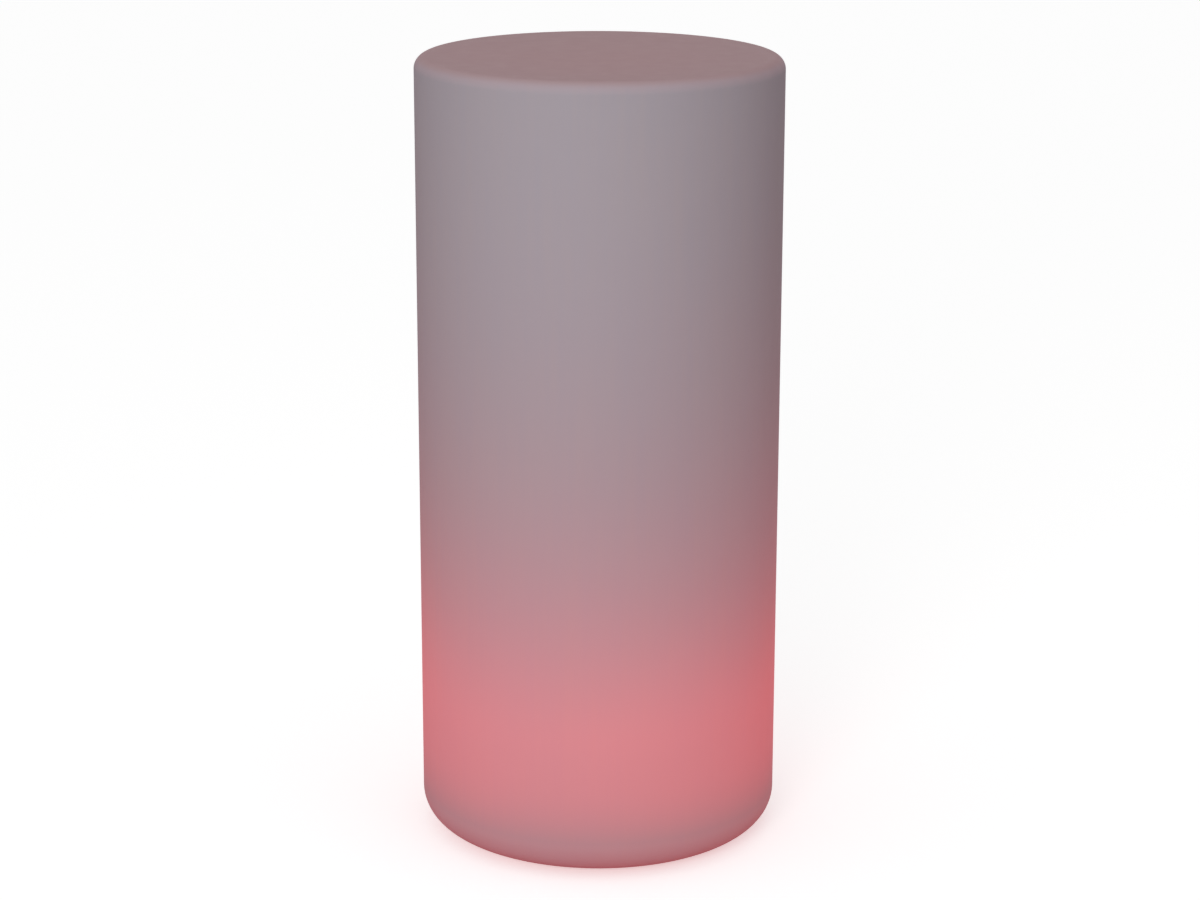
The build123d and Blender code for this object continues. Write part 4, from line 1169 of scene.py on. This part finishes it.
def band(name, radius, stroke, first, last, low, high, finish, steps=40):
    """A flat band round part of a circle, as one strip closed at both ends."""
    rings = []
    for i in range(steps + 1):
        a = first + (last - first) * i / steps
        inner, outer = radius - stroke / 2, radius + stroke / 2
        rings.append([(r * math.cos(a), r * math.sin(a), z)
                      for r, z in ((inner, low), (inner, high), (outer, high), (outer, low))])
    return lofted(name, rings, finish)


def moved(piece, x, y):
    """A piece with its mesh moved, so that its object stays at the origin."""
    piece.data.transform(Matrix.Translation((x, y, 0)))
    return piece


power_place, colour_place = button_places
half_stroke = sign_stroke / 2
ring_sign = moved(band("power_ring_sign", sign_radius, sign_stroke, math.pi / 2 + sign_gap,
                       2.5 * math.pi - sign_gap, sign_face, sign_back, sign_pale), *power_place)
bar_outline = [(-half_stroke, bar_from), (half_stroke, bar_from), (half_stroke, bar_to),
               (-half_stroke, bar_to)]
bar_sign = moved(prism("power_bar_sign", bar_outline, sign_face, sign_back, sign_pale), *power_place)
dot = turned("dot", [(0, sign_face, 0), (dot_radius, sign_face, dot_edge), (dot_radius, sign_back, 0),
                     (0, sign_back, 0)], sign_pale, dot_sides)
dot_places = [(x + colour_place[0], y + colour_place[1], 0)
              for x, y, _ in on_circle(dot_circle, 3, 0, math.pi / 2)]
dots = repeated("colour_dots_sign", dot, dot_places, sign_pale)
for piece, body in ((ring_sign, "power_button"), (bar_sign, "power_button"), (dots, "colour_button")):
    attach(piece, body)


# The charging socket is a black moulded barrel with a round flange, a brass centre pin and a steel nut behind
# the cover. Its soft black flap hangs on a steel pin and has three fine grip ridges at its free edge.

jack_black = finish("glass_filled_nylon", (0.020, 0.020, 0.021), (0.036, 0.036, 0.037), (0.30, 0.44),
                    [(700, 0.00003)], scale=60)
flap_soft = finish("soft_black_plastic", (0.030, 0.030, 0.032), (0.046, 0.046, 0.048), (0.56, 0.70),
                   [(120, 0.0001), (1200, 0.00004)], scale=40)
dress(jack_black, "charge_socket")
dress(flap_soft, "port_flap")
dress(brushed, "flap_pin", "socket_nut")

ridge_count = 3
ridge_pitch = 0.0016
ridge_length = 0.009
ridge_width = 0.0006
ridge_rise = 0.00025
ridge_inset = 0.0026
ridge_sharp = 50
flap_low, flap_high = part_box("port_flap")
flap_middle = (flap_low.x + flap_high.x) / 2
first_ridge = flap_high.y - ridge_inset
ridge = lofted("ridge", [
    slab(ridge_length - ridge_width, ridge_width * 0.4, flap_low.z - ridge_rise),
    slab(ridge_length - 0.4 * ridge_width, ridge_width * 0.8, flap_low.z - 0.6 * ridge_rise),
    slab(ridge_length, ridge_width, flap_low.z + ridge_rise),
], flap_soft, ridge_sharp)
ridge_places = [(flap_middle, first_ridge - i * ridge_pitch, 0) for i in range(ridge_count)]
ridges = repeated("flap_ridges", ridge, ridge_places, flap_soft)
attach(ridges, "port_flap")


# The LED board is a round of aluminium under white solder mask, with copper tracks that show through faintly.
# It lies on a rolled aluminium heat spreader, and a rubber grommet guards the lead's hole in the deck.

white_mask = circuit("white_board", (0.74, 0.75, 0.74), (0.70, 0.715, 0.705), (0.70, 0.69, 0.66),
                     roughness=(0.34, 0.46), rise=0.000008, bare_share=0.94)
rolled = finish("rolled_aluminium", (0.58, 0.59, 0.60), (0.70, 0.71, 0.72), (0.26, 0.42), [(500, 0.00002)],
                scale=160, stretch=(0.15, 4, 4), metallic=1.0)
dress(white_mask, "led_board")
dress(rolled, "heat_spreader")
dress(rubber_black, "lead_grommet")


# Twenty-four LEDs stand on the board in two rings. Each is a square white package with six tinned feet and a
# round cup, filled with resin that glows red.

led_size = 0.005
led_height = 0.0014
lens_radius = 0.0019
lens_rise = 0.0002
lens_base = led_height - 0.0005
lens_shoulder = led_height + 0.0001
lens_edge = 0.0001
lens_crown = 0.6 * lens_radius
lens_crown_edge = 0.0004
cup_radius = 0.0021
cup_floor = led_height - 0.0004
package_lift = 0.0001
package_wall_top = led_height - 0.0002
package_bevel = 0.0001
outer_ring = led_board_high.x - 0.010
inner_ring = 0.030
ring_counts = ((outer_ring, 16), (inner_ring, 8))
led_foot_size = (0.0005, 0.0009)
led_foot_height = 0.0007
led_foot_pitch = 0.0016
led_red = (1.0, 0.022, 0.020)
led_rim_red = (1.0, 0.060, 0.045)
led_strength = 1.3
led_sides = 32


def square(half_width, height, sides=led_sides):
    """A ring of points round a square, as many as the circle has."""
    spots = []
    for i in range(sides):
        a = 2 * math.pi * i / sides
        reach = half_width / max(abs(math.cos(a)), abs(math.sin(a)))
        spots.append((reach * math.cos(a), reach * math.sin(a), height))
    return spots


lit_resin, tree, shader = material("lit_resin")
resin = mixed(tree, ranged(tree, grain(tree, 300.0), 0, 1), (0.55, 0.030, 0.025, 1), (0.65, 0.050, 0.040, 1))
tree.links.new(resin, shader.inputs["Base Color"])
tree.links.new(ranged(tree, grain(tree, 500.0), 0.18, 0.28), shader.inputs["Roughness"])
shine = mixed(tree, ranged(tree, grain(tree, 400.0, 1.0), 0, 1), (*led_red, 1), (*led_rim_red, 1))
tree.links.new(shine, shader.inputs["Emission Color"])
shader.inputs["Emission Strength"].default_value = led_strength

half_led = led_size / 2
package = lofted("package", [
    square(half_led, package_lift), square(half_led, package_wall_top),
    square(half_led - package_bevel, led_height), circle(cup_radius, led_height, led_sides),
    circle(lens_radius, cup_floor, led_sides),
], chip_white)
lens = turned("lens", [
    (0, lens_base, 0), (lens_radius, lens_base, 0), (lens_radius, lens_shoulder, lens_edge),
    (lens_crown, led_height + lens_rise, lens_crown_edge), (0, led_height + lens_rise, 0),
], lit_resin, led_sides)
led_foot = lofted("led_foot", [slab(*led_foot_size, 0, (half_led, 0)),
                  slab(*led_foot_size, led_foot_height, (half_led, 0))], tinned)

led_places, led_turns, foot_places, foot_turns = [], [], [], []
for ring_radius, count in ring_counts:
    for i in range(count):
        a = 2 * math.pi * (i + 0.5) / count
        place = Vector((ring_radius * math.cos(a), ring_radius * math.sin(a), led_board_high.z))
        led_places.append(place)
        led_turns.append((0, 0, a))
        for side in (0, math.pi):
            for step in (-1, 0, 1):
                shift = Matrix.Rotation(a, 3, "Z") @ Vector((0, step * led_foot_pitch, 0))
                foot_places.append(place + shift)
                foot_turns.append((0, 0, a + side))
packages = repeated("led_packages", package, led_places, chip_white, led_turns)
lenses = repeated("led_lenses", lens, led_places, lit_resin, led_turns)
led_feet = repeated("led_feet", led_foot, foot_places, tinned, foot_turns)
for piece in (packages, lenses, led_feet):
    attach(piece, "lamp")
for piece in (packages, lenses):
    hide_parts("leds")
